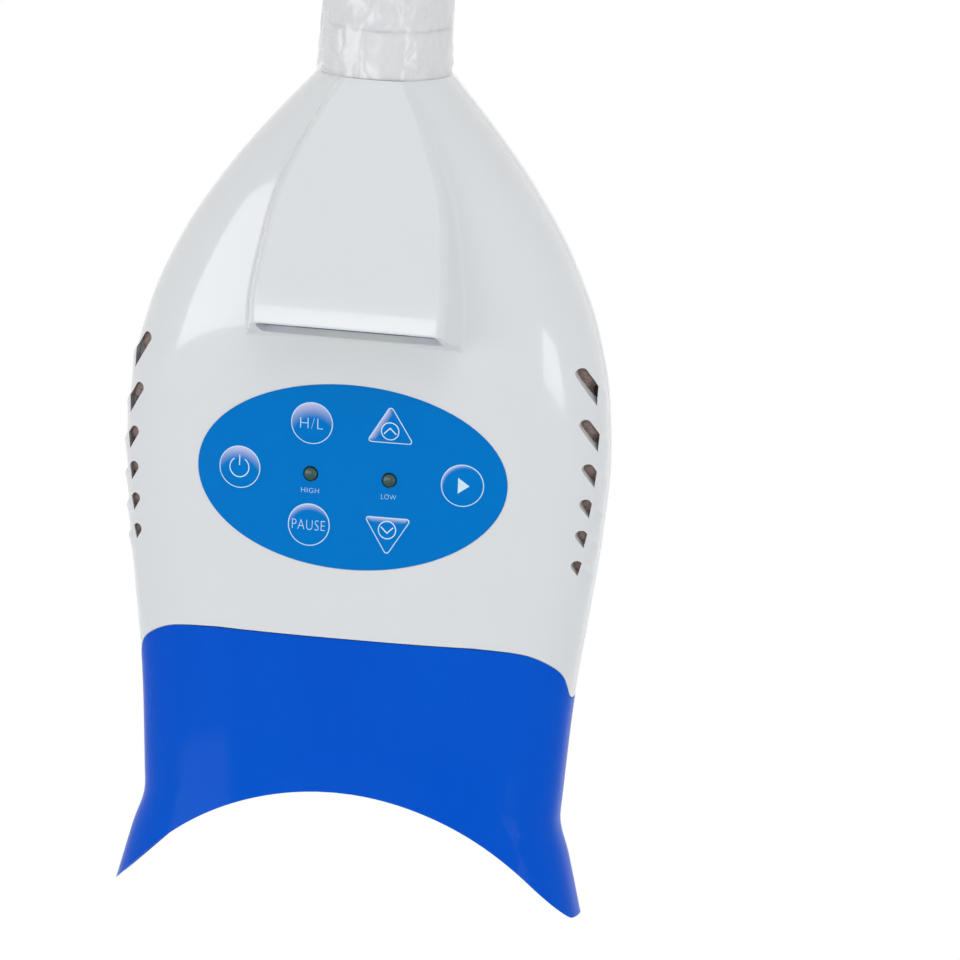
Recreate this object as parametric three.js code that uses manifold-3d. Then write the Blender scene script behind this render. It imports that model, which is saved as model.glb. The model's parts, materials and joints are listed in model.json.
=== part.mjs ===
import * as THREE from "three";
import { mergeVertices } from "three/addons/utils/BufferGeometryUtils.js";
import Module from "manifold-3d";

const wasm = await Module();
wasm.setup();

// Teeth whitening lamp, in millimetres: a white housing of two shells that swivels under a round
// neck, a blue face shield with a curved mouth, a key panel, a display under a raised hood,
// and the control board, fan and light engine inside.
// In the head's own frame Z is 0 at the top face of the housing and falls towards the mouth,
// and the front looks along -Y. The whole model's origin is the mouth of the arm socket.

// Clearances
const gap = 0.3;
const overrun = 12;
const mergeDistance = 0.0001;

// Head envelope
const headLength = 290;
const bodyHalfWidth = 85.2;
const frontDepth = 34;
const rearDepth = 30;
const wall = 2.8;
const capThickness = 4;
const ringSides = 28;
const ringShares = [
  0, 0.03, 0.065, 0.105, 0.15, 0.2, 0.26, 0.33, 0.4, 0.47, 0.54, 0.61, 0.69, 0.77, 0.84, 0.885,
  0.93, 1,
];
const widthShares = [
  [0, 0.27], [0.065, 0.464], [0.124, 0.62], [0.21, 0.803], [0.297, 0.925], [0.38, 0.985],
  [0.457, 1], [0.544, 0.98], [0.631, 0.944], [0.747, 0.893], [0.863, 0.864], [0.885, 0.859],
  [0.93, 0.901], [1, 0.961],
];
const frontDepthShares = [
  [0, 0.676], [0.086, 0.794], [0.172, 0.912], [0.293, 1], [0.379, 0.935], [0.476, 0.853],
  [0.586, 0.824], [0.672, 0.824], [0.793, 0.841], [0.883, 0.897], [1, 1],
];
const rearDepthShares = [
  [0, 0.767], [0.14, 0.867], [0.345, 0.917], [0.517, 0.933], [0.69, 0.9], [0.86, 0.9], [1, 1],
];
const squarenessShares = [[0, 2], [0.07, 2.25], [0.138, 2.5], [1, 2.5]];

// Parting line between housing and face shield, level in front and lower at the sides
const partingDepth = 195.2;
const partingDrop = 18.5;
const partingReach = 25;
const partingSteps = 9;
const partingDropShares = [
  [0, 1], [0.1, 0.99], [0.18, 0.95], [0.43, 0.51], [0.61, 0.29], [0.83, 0.07], [1, 0],
];

// Neck: arm socket, swivel tube and what holds it
const neckHeight = 62;
const neckRadius = 21.8;
const neckSides = 28;
const collarHeight = 16;
const frictionThickness = 1;
const frictionRadius = 16;
const socketRadius = 15;
const socketDepth = 30;
const tubeRadius = 9;
const tubeBore = 6.2;
const tubeReach = 16;
const tubeSides = 20;
const flangeRadius = 13;
const flangeThickness = 3;
const springRadius = 14;
const springThickness = 1.5;
const nutAcrossFlats = 28;
const nutHeight = 6.9;
const clampScrewRadius = 2.2;
const clampScrewLength = 6;
const clampScrewDepth = 9;
const clampScrewInset = 0.4;
const filmClearance = 0.5;
const filmThickness = 0.4;
const filmLength = 44.8;
const filmStart = 1.2;

// Hood over the display
const hoodLength = 89.1;
const hoodHalfWidth = 38.2;
const hoodTopReach = 23.3;
const hoodLipReach = 49;
const hoodLipDepth = 83.3;
const hoodBaseReach = 33.8;
const hoodWall = 2.5;
const hoodFillet = 3;
const hoodFilletSteps = 3;
const hoodDraft = 0.3;
const hoodRootReach = 14;
const hoodEndWall = 5.6;
const hoodHalfWidthShares = [
  [0, 0.306], [0.096, 0.453], [0.277, 0.662], [0.442, 0.822], [0.741, 0.961], [0.885, 1], [1.2, 1],
];
const hoodRingShares = [0, 0.05, 0.1, 0.19, 0.28, 0.38, 0.48, 0.6, 0.74, 0.885, 1.2];

// Display, in a frame that lies in the hood's end face
const bezelSideRoom = 8;
const bezelLength = 2 * (hoodHalfWidth - bezelSideRoom);
const bezelHeight = 13.2;
const bezelThickness = 1;
const bezelRecess = 2.3;
const windowSideRoom = 10.5;
const windowLength = bezelLength - 2 * windowSideRoom;
const windowHeight = 10.6;
const windowThickness = 0.8;
const displayOpeningInset = 1.45;
const displayOpeningLength = windowLength - 2 * displayOpeningInset;
const displayOpeningHeight = 9.4;
const moduleInset = 0.7;
const moduleLength = windowLength - 2 * moduleInset;
const moduleHeight = 11.4;
const moduleThickness = 7;
const moduleShift = 0.4;
const displayBoardInset = 1.2;
const displayBoardLength = bezelLength - 2 * displayBoardInset;
const displayBoardHeight = 12.4;
const boardThickness = 1.6;
const displayPostInset = 4;
const displayPostReach = displayBoardLength / 2 - displayPostInset;
const displayPostRadius = 2.2;
const displayPinRadius = 0.9;
const displayPinRise = 0.8;
const displayHeaderLength = 12;
const displayHeaderWidth = 4;
const displayHeaderHeight = 3;

// Key panel
const panelDepth = 138;
const panelHalfWidth = 54.5;
const panelHalfHeight = 32.4;
const panelRise = 0.2;
const panelSink = 0.6;
const panelSegments = 16;
const keySegments = 6;
const arrowSegments = 3;
const keyRadius = 7.4;
const keyRise = 0.45;
const keySink = 0.9;
const wellSink = 1.5;
const keyTravel = 0.4;
const sideKeyReach = 39.4;
const keyColumn = 13.9;
const keyRow = 18;
const arrowRow = 17.5;
const arrowBase = 13.2;
const arrowWidth = 16.8;
const arrowHeight = 13.6;
const arrowCorner = 1.9;
const stemRadius = 2;
const stemHole = 2.6;
const stemRest = 0.05;

// Control board
const boardLength = 96;
const boardHeight = 58;
const boardFront = 16.5;
const boardBossReach = 42;
const boardBossRow = 24;
const bossRadius = 3.2;
const switchSize = 6;
const switchHeight = 4;
const plungerRadius = 1.6;
const plungerHeight = 0.9;
const chipSize = 12;
const chipHeight = 1.8;
const capacitorRadius = 4;
const capacitorHeight = 6;
const capacitorReach = 18;
const capacitorDrop = 10;
const powerHeaderReach = 24;
const powerHeaderInset = 3;
const powerHeaderLength = 14;
const powerHeaderWidth = 12;
const powerHeaderHeight = 7;
const ribbonHeaderInset = 2;
const ribbonHeaderLength = 13;
const ribbonHeaderWidth = 6;
const ribbonHeaderHeight = 5;
const lowHeaderReach = 30;
const lowHeaderInset = 3;
const lowHeaderSize = 6;
const lowHeaderHeight = 5;

// Indicator lights
const lampRadius = 2.5;
const lampRise = 1.3;
const lampFlangeRadius = 2.9;
const lampFlangeThickness = 1;
const lampSpacerRadius = 2;
const lampSides = 12;

// Vents, cut along Y through the front shell and open at the side
const slotWidth = 3.5;
const slotLength = 21;
const slotAngle = 31;
const slotBack = 3;
const slotPlaceShares = [
  [0.901, 0.336], [0.926, 0.398], [0.942, 0.452], [0.938, 0.495], [0.926, 0.533], [0.914, 0.57],
];
const filterThickness = 4.5;
const filterFront = 24;
const filterBack = 3.5;
const filterTop = 90;
const filterBottom = 175;
const grilleCount = 8;
const grilleLength = 44;
const grilleSlot = 2.4;
const grillePitch = 5.2;
const grilleTop = 132;

// Screws: radius and length of the shank, radius and height of the head
const housingScrew = { shank: 1.5, length: 20, head: 2.8, height: 2 };
const boardScrew = { shank: 1.5, length: 6.5, head: 2.6, height: 1.8 };
const fanScrew = { shank: 1.5, length: 18, head: 2.6, height: 1.8 };
const engineScrew = { shank: 1.25, length: 17, head: 2.3, height: 1.6 };
const plateScrew = { shank: 1.5, length: 7, head: 2.6, height: 1.8 };
const shieldScrew = { shank: 1.5, length: 6, head: 2.8, height: 1.6 };
const screwSides = 8;
const housingBossRadius = 3.8;
const bossSides = 10;
const housingScrewSeat = 8;
const housingScrewPlaceShares = [[0.516, 0.172], [0.704, 0.397], [0.704, 0.607]];
const housingBossReach = bodyHalfWidth * Math.max(...housingScrewPlaceShares.map(([x]) => x));
const shieldScrewReach = 36;
const shieldScrewRise = 6.7;
const shieldBossRadius = 2.8;
const shieldBossBack = 17.5;
const shieldScrewSink = 1.8;

// Face shield
const lipThickness = 1.8;
const lipHeight = 10;
const lipRoot = 6;
const mouthRadius = 96;
const mouthApex = 248.9;
const mouthTipRun = 13.1;
const mouthSteps = 16;
const tipWidth = 0.8;

// Fan
const fanTop = 182;
const fanSize = 40;
const fanHeight = 10;
const fanRim = 1;
const fanBore = fanSize / 2 - fanRim;
const fanScrewInset = 4;
const fanScrewReach = fanSize / 2 - fanScrewInset;
const fanPlateThickness = 1.4;
const fanStrutWidth = 3;
const fanStrutCount = 3;
const hubRadius = 8.5;
const hubHeight = 7.4;
const bladeCount = 7;
const bladeClearance = 1.6;
const bladeReach = fanBore - bladeClearance;
const bladeThickness = 1.1;
const bladeWidth = 7.6;
const bladeAngle = 35;

// Light engine
const finHeight = 12;
const finEndRoom = 3;
const finThickness = 1.2;
const finCount = 10;
const finPitch = 4;
const sinkEndRoom = 3;
const sinkHalfDepth = 19;
const sinkBase = 4;
const fanPostRadius = 3;
const engineScrewInset = 5;
const ledBoardEndRoom = 7;
const ledBoardHalfDepth = 17;
const ledHeaderInset = 2;
const ledHeaderLength = 3.4;
const ledHeaderWidth = 6;
const ledHeaderHeight = 4.7;
const emitterColumns = 7;
const emitterEndRoom = 7;
const emitterRow = 6;
const emitterRadius = 2.4;
const emitterTipRadius = 1.2;
const emitterHeight = 2.6;
const emitterSides = 6;
const plateSideRoom = 14;
const plateHalfDepth = 19;
const plateThickness = 3;
const plateInset = 5.5;
const plateOpeningInset = 20;
const plateOpeningHalfDepth = 14;
const plateScrewInset = 6;
const plateScrewRow = 12;
const padHalfWidth = 4.5;
const padInner = 8;
const padThickness = 5;
const reflectorInset = 12;
const reflectorHalfDepth = 20;
const reflectorHeight = 12.2;
const reflectorTopWall = 10;
const reflectorTopHalfDepth = 12;
const reflectorMouthWall = 8;
const reflectorMouthHalfDepth = 16;
const lensEndRoom = 2;
const lensHalfDepth = 18;
const lensThickness = 2;
const lensRecess = 0.2;

// Internal leads
const powerCableRadius = 2.6;
const powerPlugRadius = 5.4;
const powerPlugBottom = 18;
const powerPlugLength = 13;
const ribbonWidth = 10;
const ribbonThickness = 1;
const ledCableRadius = 1.5;
const fanCableRadius = 1;
const cableSides = 8;
const powerCableSteps = 24;
const ribbonSteps = 16;
const ledCableSteps = 13;
const fanCableSteps = 12;
const powerCablePoints = [
  [0, 0, 18.2], [0, 0, -2], [0, 0, -20], [-4, 1.5, -33], [-15, 4, -52], [-23, 4, -76],
  [-24, 0, -94], [-24, -9, -102], [-24, -11.4, -107], [-24, -11.4, -111.7],
];
const ribbonPoints = [
  [0, -34.7, -69.3], [0, -33.6, -66.3], [0, -29, -61.2], [0, -21, -63], [0, -15.5, -75],
  [0, -12.8, -90], [0, -12.4, -104], [0, -12.4, -110.7],
];
const ledCablePoints = [
  [30, -12.4, -164.3], [30.5, -12.4, -168], [38, -11, -177], [47, -6, -186], [48, -1.5, -193],
  [48, 0, -199], [48, 0, -203.6],
];
const fanCablePoints = [
  [-30, -12.4, -164.3], [-30, -12.2, -169], [-29.5, -8, -177], [-27.5, -2, -184],
  [-24.5, 0, -187], [-20.3, 0, -187],
];

// Looks
const whitePlastic = { color: 0xdfe1e5, roughness: 0.28, metalness: 0 };
const neckPlastic = { color: 0xd8dade, roughness: 0.3, metalness: 0 };
const clearFilm = { color: 0xe9ecef, roughness: 0.2, metalness: 0 };
const bluePanel = { color: 0x0a6cc0, roughness: 0.35, metalness: 0 };
const blueShield = { color: 0x0a52c8, roughness: 0.22, metalness: 0 };
const keyBlue = { color: 0x2f7fd0, roughness: 0.3, metalness: 0 };
const darkFoam = { color: 0x5c5048, roughness: 0.95, metalness: 0 };
const navyPlastic = { color: 0x0c2a5e, roughness: 0.35, metalness: 0 };
const darkWindow = { color: 0x07090b, roughness: 0.1, metalness: 0 };
const moduleBlack = { color: 0x15171a, roughness: 0.5, metalness: 0 };
const boardGreen = { color: 0x1d5a36, roughness: 0.45, metalness: 0 };
const lampGreen = { color: 0x1f4f3c, roughness: 0.15, metalness: 0 };
const steel = { color: 0xb5b8bb, roughness: 0.35, metalness: 1 };
const aluminium = { color: 0xc6c9cc, roughness: 0.4, metalness: 1 };
const whiteBoard = { color: 0xe8e9e6, roughness: 0.5, metalness: 0 };
const chrome = { color: 0xd6d9dc, roughness: 0.12, metalness: 1 };
const clearLens = { color: 0xdfe9f2, roughness: 0.08, metalness: 0 };
const blackPlastic = { color: 0x1b1c1e, roughness: 0.55, metalness: 0 };
const greyNylon = { color: 0x9da0a3, roughness: 0.6, metalness: 0 };
const greyRibbon = { color: 0xb9bcc0, roughness: 0.6, metalness: 0 };

// Geometry helpers

function solid(geometry) {
  const bare = geometry.clone();
  bare.deleteAttribute("normal");
  bare.deleteAttribute("uv");
  const merged = mergeVertices(bare, mergeDistance);
  const corners = merged.getIndex().array;
  const kept = [];
  for (let i = 0; i < corners.length; i += 3) {
    const [a, b, c] = [corners[i], corners[i + 1], corners[i + 2]];
    if (a !== b && b !== c && c !== a) {
      kept.push(a, b, c);
    }
  }
  return new wasm.Manifold(new wasm.Mesh({
    numProp: 3,
    vertProperties: Float32Array.from(merged.getAttribute("position").array),
    triVerts: Uint32Array.from(kept),
  }));
}

function geometryOf(form) {
  const mesh = form.getMesh();
  const geometry = new THREE.BufferGeometry();
  geometry.setAttribute("position", new THREE.BufferAttribute(mesh.vertProperties, 3));
  geometry.setIndex(new THREE.BufferAttribute(mesh.triVerts, 1));
  geometry.computeVertexNormals();
  return geometry;
}

function join(first, ...others) {
  return others.reduce((whole, form) => whole.add(form), first);
}

function cut(first, ...others) {
  return others.reduce((whole, form) => whole.subtract(form), first);
}

function meet(first, ...others) {
  return others.reduce((whole, form) => whole.intersect(form), first);
}

function bothSides(make) {
  return join(make(-1), make(1));
}

function block([left, right], [front, back], [bottom, top]) {
  const box = new THREE.BoxGeometry(right - left, back - front, top - bottom);
  box.translate((left + right) / 2, (front + back) / 2, (bottom + top) / 2);
  return solid(box);
}

function rodAlongY(radius, x, z, front, back, sides = 16) {
  const rod = new THREE.CylinderGeometry(radius, radius, back - front, sides);
  rod.translate(x, (front + back) / 2, z);
  return solid(rod);
}

function rodAlongZ(radius, x, y, bottom, top, sides = 16) {
  const rod = new THREE.CylinderGeometry(radius, radius, top - bottom, sides);
  rod.rotateX(Math.PI / 2);
  rod.translate(x, y, (bottom + top) / 2);
  return solid(rod);
}

// A turned form about Z from (radius, height) points that start and end on the axis or close.
function turned(points, sides) {
  const profile = points.map(([radius, height]) => new THREE.Vector2(radius, height));
  const lathe = new THREE.LatheGeometry(profile, sides);
  lathe.rotateX(Math.PI / 2);
  return solid(lathe);
}

function ring(outer, inner, bottom, top, sides) {
  const corners = [[outer, bottom], [outer, top], [inner, top], [inner, bottom], [outer, bottom]];
  return turned(corners, sides);
}

// A shape drawn in (x, z) and pushed through from front to back.
function alongY(shape, front, back, curveSegments = 12) {
  const depth = back - front;
  const prism = new THREE.ExtrudeGeometry(shape, { depth, curveSegments, bevelEnabled: false });
  prism.rotateX(Math.PI / 2);
  prism.translate(0, back, 0);
  return solid(prism);
}

function tubeAlong(points, outline, steps) {
  const path = new THREE.CatmullRomCurve3(points.map((point) => new THREE.Vector3(...point)));
  const extrudePath = path;
  return solid(new THREE.ExtrudeGeometry(outline, { steps, extrudePath, bevelEnabled: false }));
}

function roundOutline(radius, sides) {
  const corners = [];
  for (let i = 0; i < sides; i += 1) {
    const turn = (2 * Math.PI * i) / sides;
    corners.push(new THREE.Vector2(radius * Math.cos(turn), radius * Math.sin(turn)));
  }
  return new THREE.Shape(corners);
}

function rectangleOutline(width, height) {
  const outline = new THREE.Shape();
  outline.moveTo(-width / 2, -height / 2);
  outline.lineTo(width / 2, -height / 2);
  outline.lineTo(width / 2, height / 2);
  outline.lineTo(-width / 2, height / 2);
  return outline;
}

// A smooth curve through table rows that adds no hump of its own, level past its ends.
function curveThrough(table) {
  const steps = table.slice(1).map((row, i) => (row[1] - table[i][1]) / (row[0] - table[i][0]));
  const slopes = table.map((row, i) => {
    const before = steps[Math.max(i - 1, 0)];
    const after = steps[Math.min(i, steps.length - 1)];
    return before * after <= 0 ? 0 : (2 * before * after) / (before + after);
  });
  return (at) => {
    const place = Math.min(Math.max(at, table[0][0]), table[table.length - 1][0]);
    const i = Math.max(0, Math.min(steps.length - 1, table.findIndex((row) => row[0] > place) - 1));
    const k = place === table[table.length - 1][0] ? steps.length - 1 : i;
    const run = table[k + 1][0] - table[k][0];
    const t = (place - table[k][0]) / run;
    const [from, to] = [table[k][1], table[k + 1][1]];
    const ease = t * t * (3 - 2 * t);
    const lift = run * (slopes[k] * t * (1 - t) ** 2 - slopes[k + 1] * t * t * (1 - t));
    return from + (to - from) * ease + lift;
  };
}

// A loft through sections, from the top down. Each is a list of [x, y, z] that runs
// counter-clockwise seen from above, and every section has as many points.
function loft(sections) {
  const sides = sections[0].length;
  const rows = sections.length - 1;
  const unit = new THREE.CylinderGeometry(1, 1, 1, sides, rows);
  const place = unit.getAttribute("position");
  for (let i = 0; i < place.count; i += 1) {
    const [x, y, z] = [place.getX(i), place.getY(i), place.getZ(i)];
    const section = sections[Math.round((0.5 - y) * rows)];
    const step = Math.round((Math.atan2(x, z) / (2 * Math.PI)) * sides + sides) % sides;
    const onAxis = Math.hypot(x, z) < 0.5;
    place.setXYZ(i, ...(onAxis ? middleOf(section) : section[step]));
  }
  return solid(unit);
}

function middleOf(points) {
  const total = points.reduce((sum, point) => sum.map((value, axis) => value + point[axis]));
  return total.map((value) => value / points.length);
}

// A block whose top and bottom faces differ in size, from half lengths and half depths.
function taperedBlock(topHalves, bottomHalves, bottom, top) {
  const box = new THREE.BoxGeometry(1, 1, top - bottom);
  const place = box.getAttribute("position");
  for (let i = 0; i < place.count; i += 1) {
    const [halfLength, halfDepth] = place.getZ(i) > 0 ? topHalves : bottomHalves;
    place.setX(i, place.getX(i) * 2 * halfLength);
    place.setY(i, place.getY(i) * 2 * halfDepth);
  }
  box.translate(0, 0, (bottom + top) / 2);
  return solid(box);
}

// Screws and their holes, with the underside of the head at Z 0 and the shank below it

function screwForm({ shank, length, head, height }) {
  return turned([[0, -length], [shank, -length], [shank, 0], [head, 0], [head, height],
    [0, height]], screwSides);
}

function screwHole({ shank, length, head }) {
  const deep = -length - gap;
  return turned([[0, deep], [shank + gap, deep], [shank + gap, -gap], [head + gap, -gap],
    [head + gap, 2 * overrun], [0, 2 * overrun]], screwSides);
}

function holeFromRear(screw, [x, y, z]) {
  return screwHole(screw).rotate([-90, 0, 0]).translate([x, y, z]);
}

function holeFromAbove(screw, place) {
  return screwHole(screw).translate(place);
}

const lamp = new THREE.Group();
const neck = new THREE.Group();
const head = new THREE.Group();
head.position.z = -neckHeight;
lamp.add(neck, head);

function piece(name, look, form, parent = head) {
  const mesh = new THREE.Mesh(geometryOf(form), new THREE.MeshStandardMaterial(look));
  mesh.name = name;
  parent.add(mesh);
  return mesh;
}

function screwFromRear(name, screw, place) {
  const mesh = piece(name, steel, screwForm(screw));
  mesh.position.set(...place);
  mesh.rotation.x = -Math.PI / 2;
}

function screwFromAbove(name, screw, place) {
  const mesh = piece(name, steel, screwForm(screw));
  mesh.position.set(...place);
}

// Body envelope

const span = headLength + neckHeight;
const widthAt = curveThrough(widthShares);
const frontDepthAt = curveThrough(frontDepthShares);
const rearDepthAt = curveThrough(rearDepthShares);
const squarenessAt = curveThrough(squarenessShares);
const dropAt = curveThrough(partingDropShares);

// One level section of the body, inset from its outer face.
function bodySection(share, inset) {
  const halfWidth = bodyHalfWidth * widthAt(share) - inset;
  const front = frontDepth * frontDepthAt(share) - inset;
  const rear = rearDepth * rearDepthAt(share) - inset;
  const power = 2 / squarenessAt(share);
  const points = [];
  for (let step = 0; step < ringSides; step += 1) {
    const turn = (2 * Math.PI * step) / ringSides;
    const [across, back] = [Math.sin(turn), -Math.cos(turn)];
    const x = halfWidth * Math.sign(across) * Math.abs(across) ** power;
    const y = (back < 0 ? front : rear) * Math.sign(back) * Math.abs(back) ** power;
    points.push([x, y, -share * headLength]);
  }
  return points;
}

function bodyLoft(inset, top = 0, bottom = headLength) {
  const [first, last] = [top / headLength, bottom / headLength];
  const between = ringShares.filter((share) => share > first && share < last);
  return loft([first, ...between, last].map((share) => bodySection(share, inset)));
}

// How far the body's surface stands from the middle plane at a place seen from the front.
function surfaceReach(x, z, depth) {
  const share = -z / headLength;
  const squareness = squarenessAt(share);
  const level = Math.abs(x) / (bodyHalfWidth * widthAt(share));
  return depth * (1 - level ** squareness) ** (1 / squareness);
}

function frontReach(x, z) {
  return surfaceReach(x, z, frontDepth * frontDepthAt(-z / headLength));
}

function rearReach(x, z) {
  return surfaceReach(x, z, rearDepth * rearDepthAt(-z / headLength));
}

// All that lies above the parting line moved by an offset; the line is drawn in (y, z).
function aboveParting(offset) {
  const line = [];
  for (let i = -partingSteps; i <= partingSteps; i += 1) {
    const share = i / partingSteps;
    line.push([share * partingReach, offset - partingDepth - partingDrop * dropAt(Math.abs(share))]);
  }
  const outline = new THREE.Shape();
  outline.moveTo(-span, span);
  outline.lineTo(-span, offset - partingDepth);
  for (const [y, z] of line) {
    outline.lineTo(y, z);
  }
  outline.lineTo(span, offset - partingDepth);
  outline.lineTo(span, span);
  const prism = new THREE.ExtrudeGeometry(outline, { depth: 2 * span, bevelEnabled: false });
  prism.rotateX(Math.PI / 2);
  prism.rotateZ(Math.PI / 2);
  prism.translate(-span, 0, 0);
  return solid(prism);
}

const bodyOuter = bodyLoft(0);
const bodyInner = bodyLoft(wall, capThickness, headLength + overrun);
const shell = cut(bodyOuter, bodyInner);
const frontSide = block([-span, span], [-span, -gap / 2], [-span, span]);
const rearSide = block([-span, span], [gap / 2, span], [-span, span]);
const housingSide = aboveParting(gap / 2);
const withinWall = bodyLoft(wall / 2);

// Hood

const hoodHalfWidthAt = curveThrough(hoodHalfWidthShares);
const hoodSlope = (hoodLipReach - hoodTopReach) / hoodLipDepth;
const endFaceAngle = -Math.atan2(hoodLength - hoodLipDepth, hoodLipReach - hoodBaseReach);
const endFaceCentre = [
  0, -(hoodLipReach + hoodBaseReach) / 2, -(hoodLipDepth + hoodLength) / 2,
];

// Moves a form from the end face's frame, +Z into the hood and +Y to its base, to the head's.
function fromEndFace(form) {
  return form.rotate([THREE.MathUtils.radToDeg(endFaceAngle), 0, 0]).translate(endFaceCentre);
}

// One level section of the hood: root, slanted side, rounded edge and flat top.
function hoodSection(share, inset) {
  const z = -share * hoodLength;
  const half = hoodHalfWidth * hoodHalfWidthAt(share);
  const foot = frontReach(half, z);
  const top = hoodTopReach - hoodSlope * z;
  const root = half + hoodDraft * (foot - hoodRootReach) - inset;
  const edge = half - hoodDraft * (top - foot) - inset;
  const fillet = Math.min(hoodFillet, edge / 2, top - inset - hoodRootReach);
  const side = [[root, -hoodRootReach, z]];
  for (let i = 0; i <= hoodFilletSteps; i += 1) {
    const turn = (i / hoodFilletSteps) * (Math.PI / 2);
    const below = fillet * (1 - Math.sin(turn));
    const x = edge + hoodDraft * below - fillet * (1 - Math.cos(turn));
    side.push([x, below + inset - top, z]);
  }
  return [...side.map(([x, y]) => [-x, y, z]), ...side.reverse()];
}

function hoodLoft(inset) {
  return loft(hoodRingShares.map((share) => hoodSection(share, inset)));
}

const hoodFilled = meet(
  hoodLoft(0),
  fromEndFace(block([-span, span], [-span, span], [0, span])),
);
const hoodHollow = meet(
  hoodLoft(hoodWall),
  fromEndFace(block([-span, span], [-span, span], [hoodEndWall, span])),
  block([-span, span], [-span, span], [-span, -capThickness]),
);

// Key panel outlines, in (x, z)

function panelOutline(grow) {
  const outline = new THREE.Shape();
  outline.absellipse(0, -panelDepth, panelHalfWidth + grow, panelHalfHeight + grow, 0,
    2 * Math.PI);
  return outline;
}

function roundKeyOutline(x, z, grow) {
  const outline = new THREE.Shape();
  outline.absarc(x, z, keyRadius + grow, 0, 2 * Math.PI);
  return outline;
}

// A triangle with rounded corners, its base level and its tip up (1) or down (-1).
function arrowKeyOutline(tip, grow) {
  const slant = Math.hypot(arrowWidth / 2, arrowHeight);
  const inner = (arrowWidth * arrowHeight) / (arrowWidth + 2 * slant);
  const scale = (inner + grow) / inner;
  const middle = arrowBase + inner;
  const corners = [
    new THREE.Vector2(-arrowWidth / 2, -inner),
    new THREE.Vector2(arrowWidth / 2, -inner),
    new THREE.Vector2(0, arrowHeight - inner),
  ].map((corner) => {
    corner.multiplyScalar(scale);
    return new THREE.Vector2(keyColumn + corner.x, tip * (middle + corner.y) - panelDepth);
  });
  const outline = new THREE.Shape();
  corners.forEach((corner, i) => {
    const before = corners[(i + 2) % 3].clone().sub(corner).setLength(arrowCorner).add(corner);
    const after = corners[(i + 1) % 3].clone().sub(corner).setLength(arrowCorner).add(corner);
    if (i === 0) {
      outline.moveTo(before.x, before.y);
    } else {
      outline.lineTo(before.x, before.y);
    }
    outline.quadraticCurveTo(corner.x, corner.y, after.x, after.y);
  });
  outline.closePath();
  return outline;
}

const keys = [
  { name: "key_power", x: -sideKeyReach, z: -panelDepth },
  { name: "key_high_low", x: -keyColumn, z: keyRow - panelDepth },
  { name: "key_pause", x: -keyColumn, z: -keyRow - panelDepth },
  { name: "key_start", x: sideKeyReach, z: -panelDepth },
  { name: "key_up", x: keyColumn, z: arrowRow - panelDepth, tip: 1 },
  { name: "key_down", x: keyColumn, z: -arrowRow - panelDepth, tip: -1 },
];

function keyPrism({ x, z, tip }, grow) {
  const outline = tip ? arrowKeyOutline(tip, grow) : roundKeyOutline(x, z, grow);
  return alongY(outline, -span, 0, tip ? arrowSegments : keySegments);
}

const lampPlaces = [
  { name: "indicator_led_high", x: -keyColumn, z: -panelDepth },
  { name: "indicator_led_low", x: keyColumn, z: -panelDepth },
];

function lampHoles() {
  return join(...lampPlaces.map(({ x, z }) => rodAlongY(lampRadius + gap, x, z, -span, 0,
    lampSides)));
}

// Vent slots

function slotForm(side, [xShare, zShare]) {
  const outline = new THREE.Shape();
  const half = slotWidth / 2;
  outline.moveTo(-half, 0);
  outline.absarc(0, 0, half, Math.PI, 0, true);
  outline.lineTo(half, -slotLength);
  outline.lineTo(-half, -slotLength);
  const prism = alongY(outline, -span, -slotBack, 6).rotate([0, -side * slotAngle, 0]);
  return prism.translate([side * xShare * bodyHalfWidth, 0, -zShare * headLength]);
}

function ventFilter(side) {
  const besideBoss = housingBossReach + housingBossRadius + gap;
  const band = block([besideBoss, span], [-filterFront, -filterBack],
    [-filterBottom, -filterTop]);
  const onSide = side > 0 ? band : band.rotate([0, 0, 180]).mirror([0, 1, 0]);
  const outer = meet(onSide, bodyLoft(wall + gap));
  return cut(outer, bodyLoft(wall + gap + filterThickness));
}

// Places of the screws

const boardBack = boardFront - boardThickness;
const housingScrewPlaces = housingScrewPlaceShares.flatMap(([xShare, zShare]) => [-1, 1].map(
  (side) => [side * xShare * bodyHalfWidth, housingScrewSeat + gap, -zShare * headLength],
));
const boardScrewPlaces = [-1, 1].flatMap((side) => [-1, 1].map((level) => [
  side * boardBossReach, gap - boardBack, level * boardBossRow - panelDepth,
]));
const shieldScrewDepth = partingDepth - shieldScrewRise;
const shieldScrewSeat = rearReach(shieldScrewReach, -shieldScrewDepth) - shieldScrewSink;
const shieldScrewPlaces = [-1, 1].map((side) => [
  side * shieldScrewReach, shieldScrewSeat + gap, -shieldScrewDepth,
]);

// Levels of the light engine, from the fan down
const fanBottom = fanTop + fanHeight;
const finTop = fanBottom + gap;
const sinkBaseTop = finTop + finHeight;
const sinkBottom = sinkBaseTop + sinkBase;
const ledBoardTop = sinkBottom + gap;
const ledBoardBottom = ledBoardTop + boardThickness;
const plateTop = ledBoardBottom + gap;
const plateBottom = plateTop + plateThickness;
const reflectorTop = plateBottom + gap;
const reflectorBottom = reflectorTop + reflectorHeight;
const lensBottom = reflectorBottom - lensRecess;
const lensTop = lensBottom - lensThickness;

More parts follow.
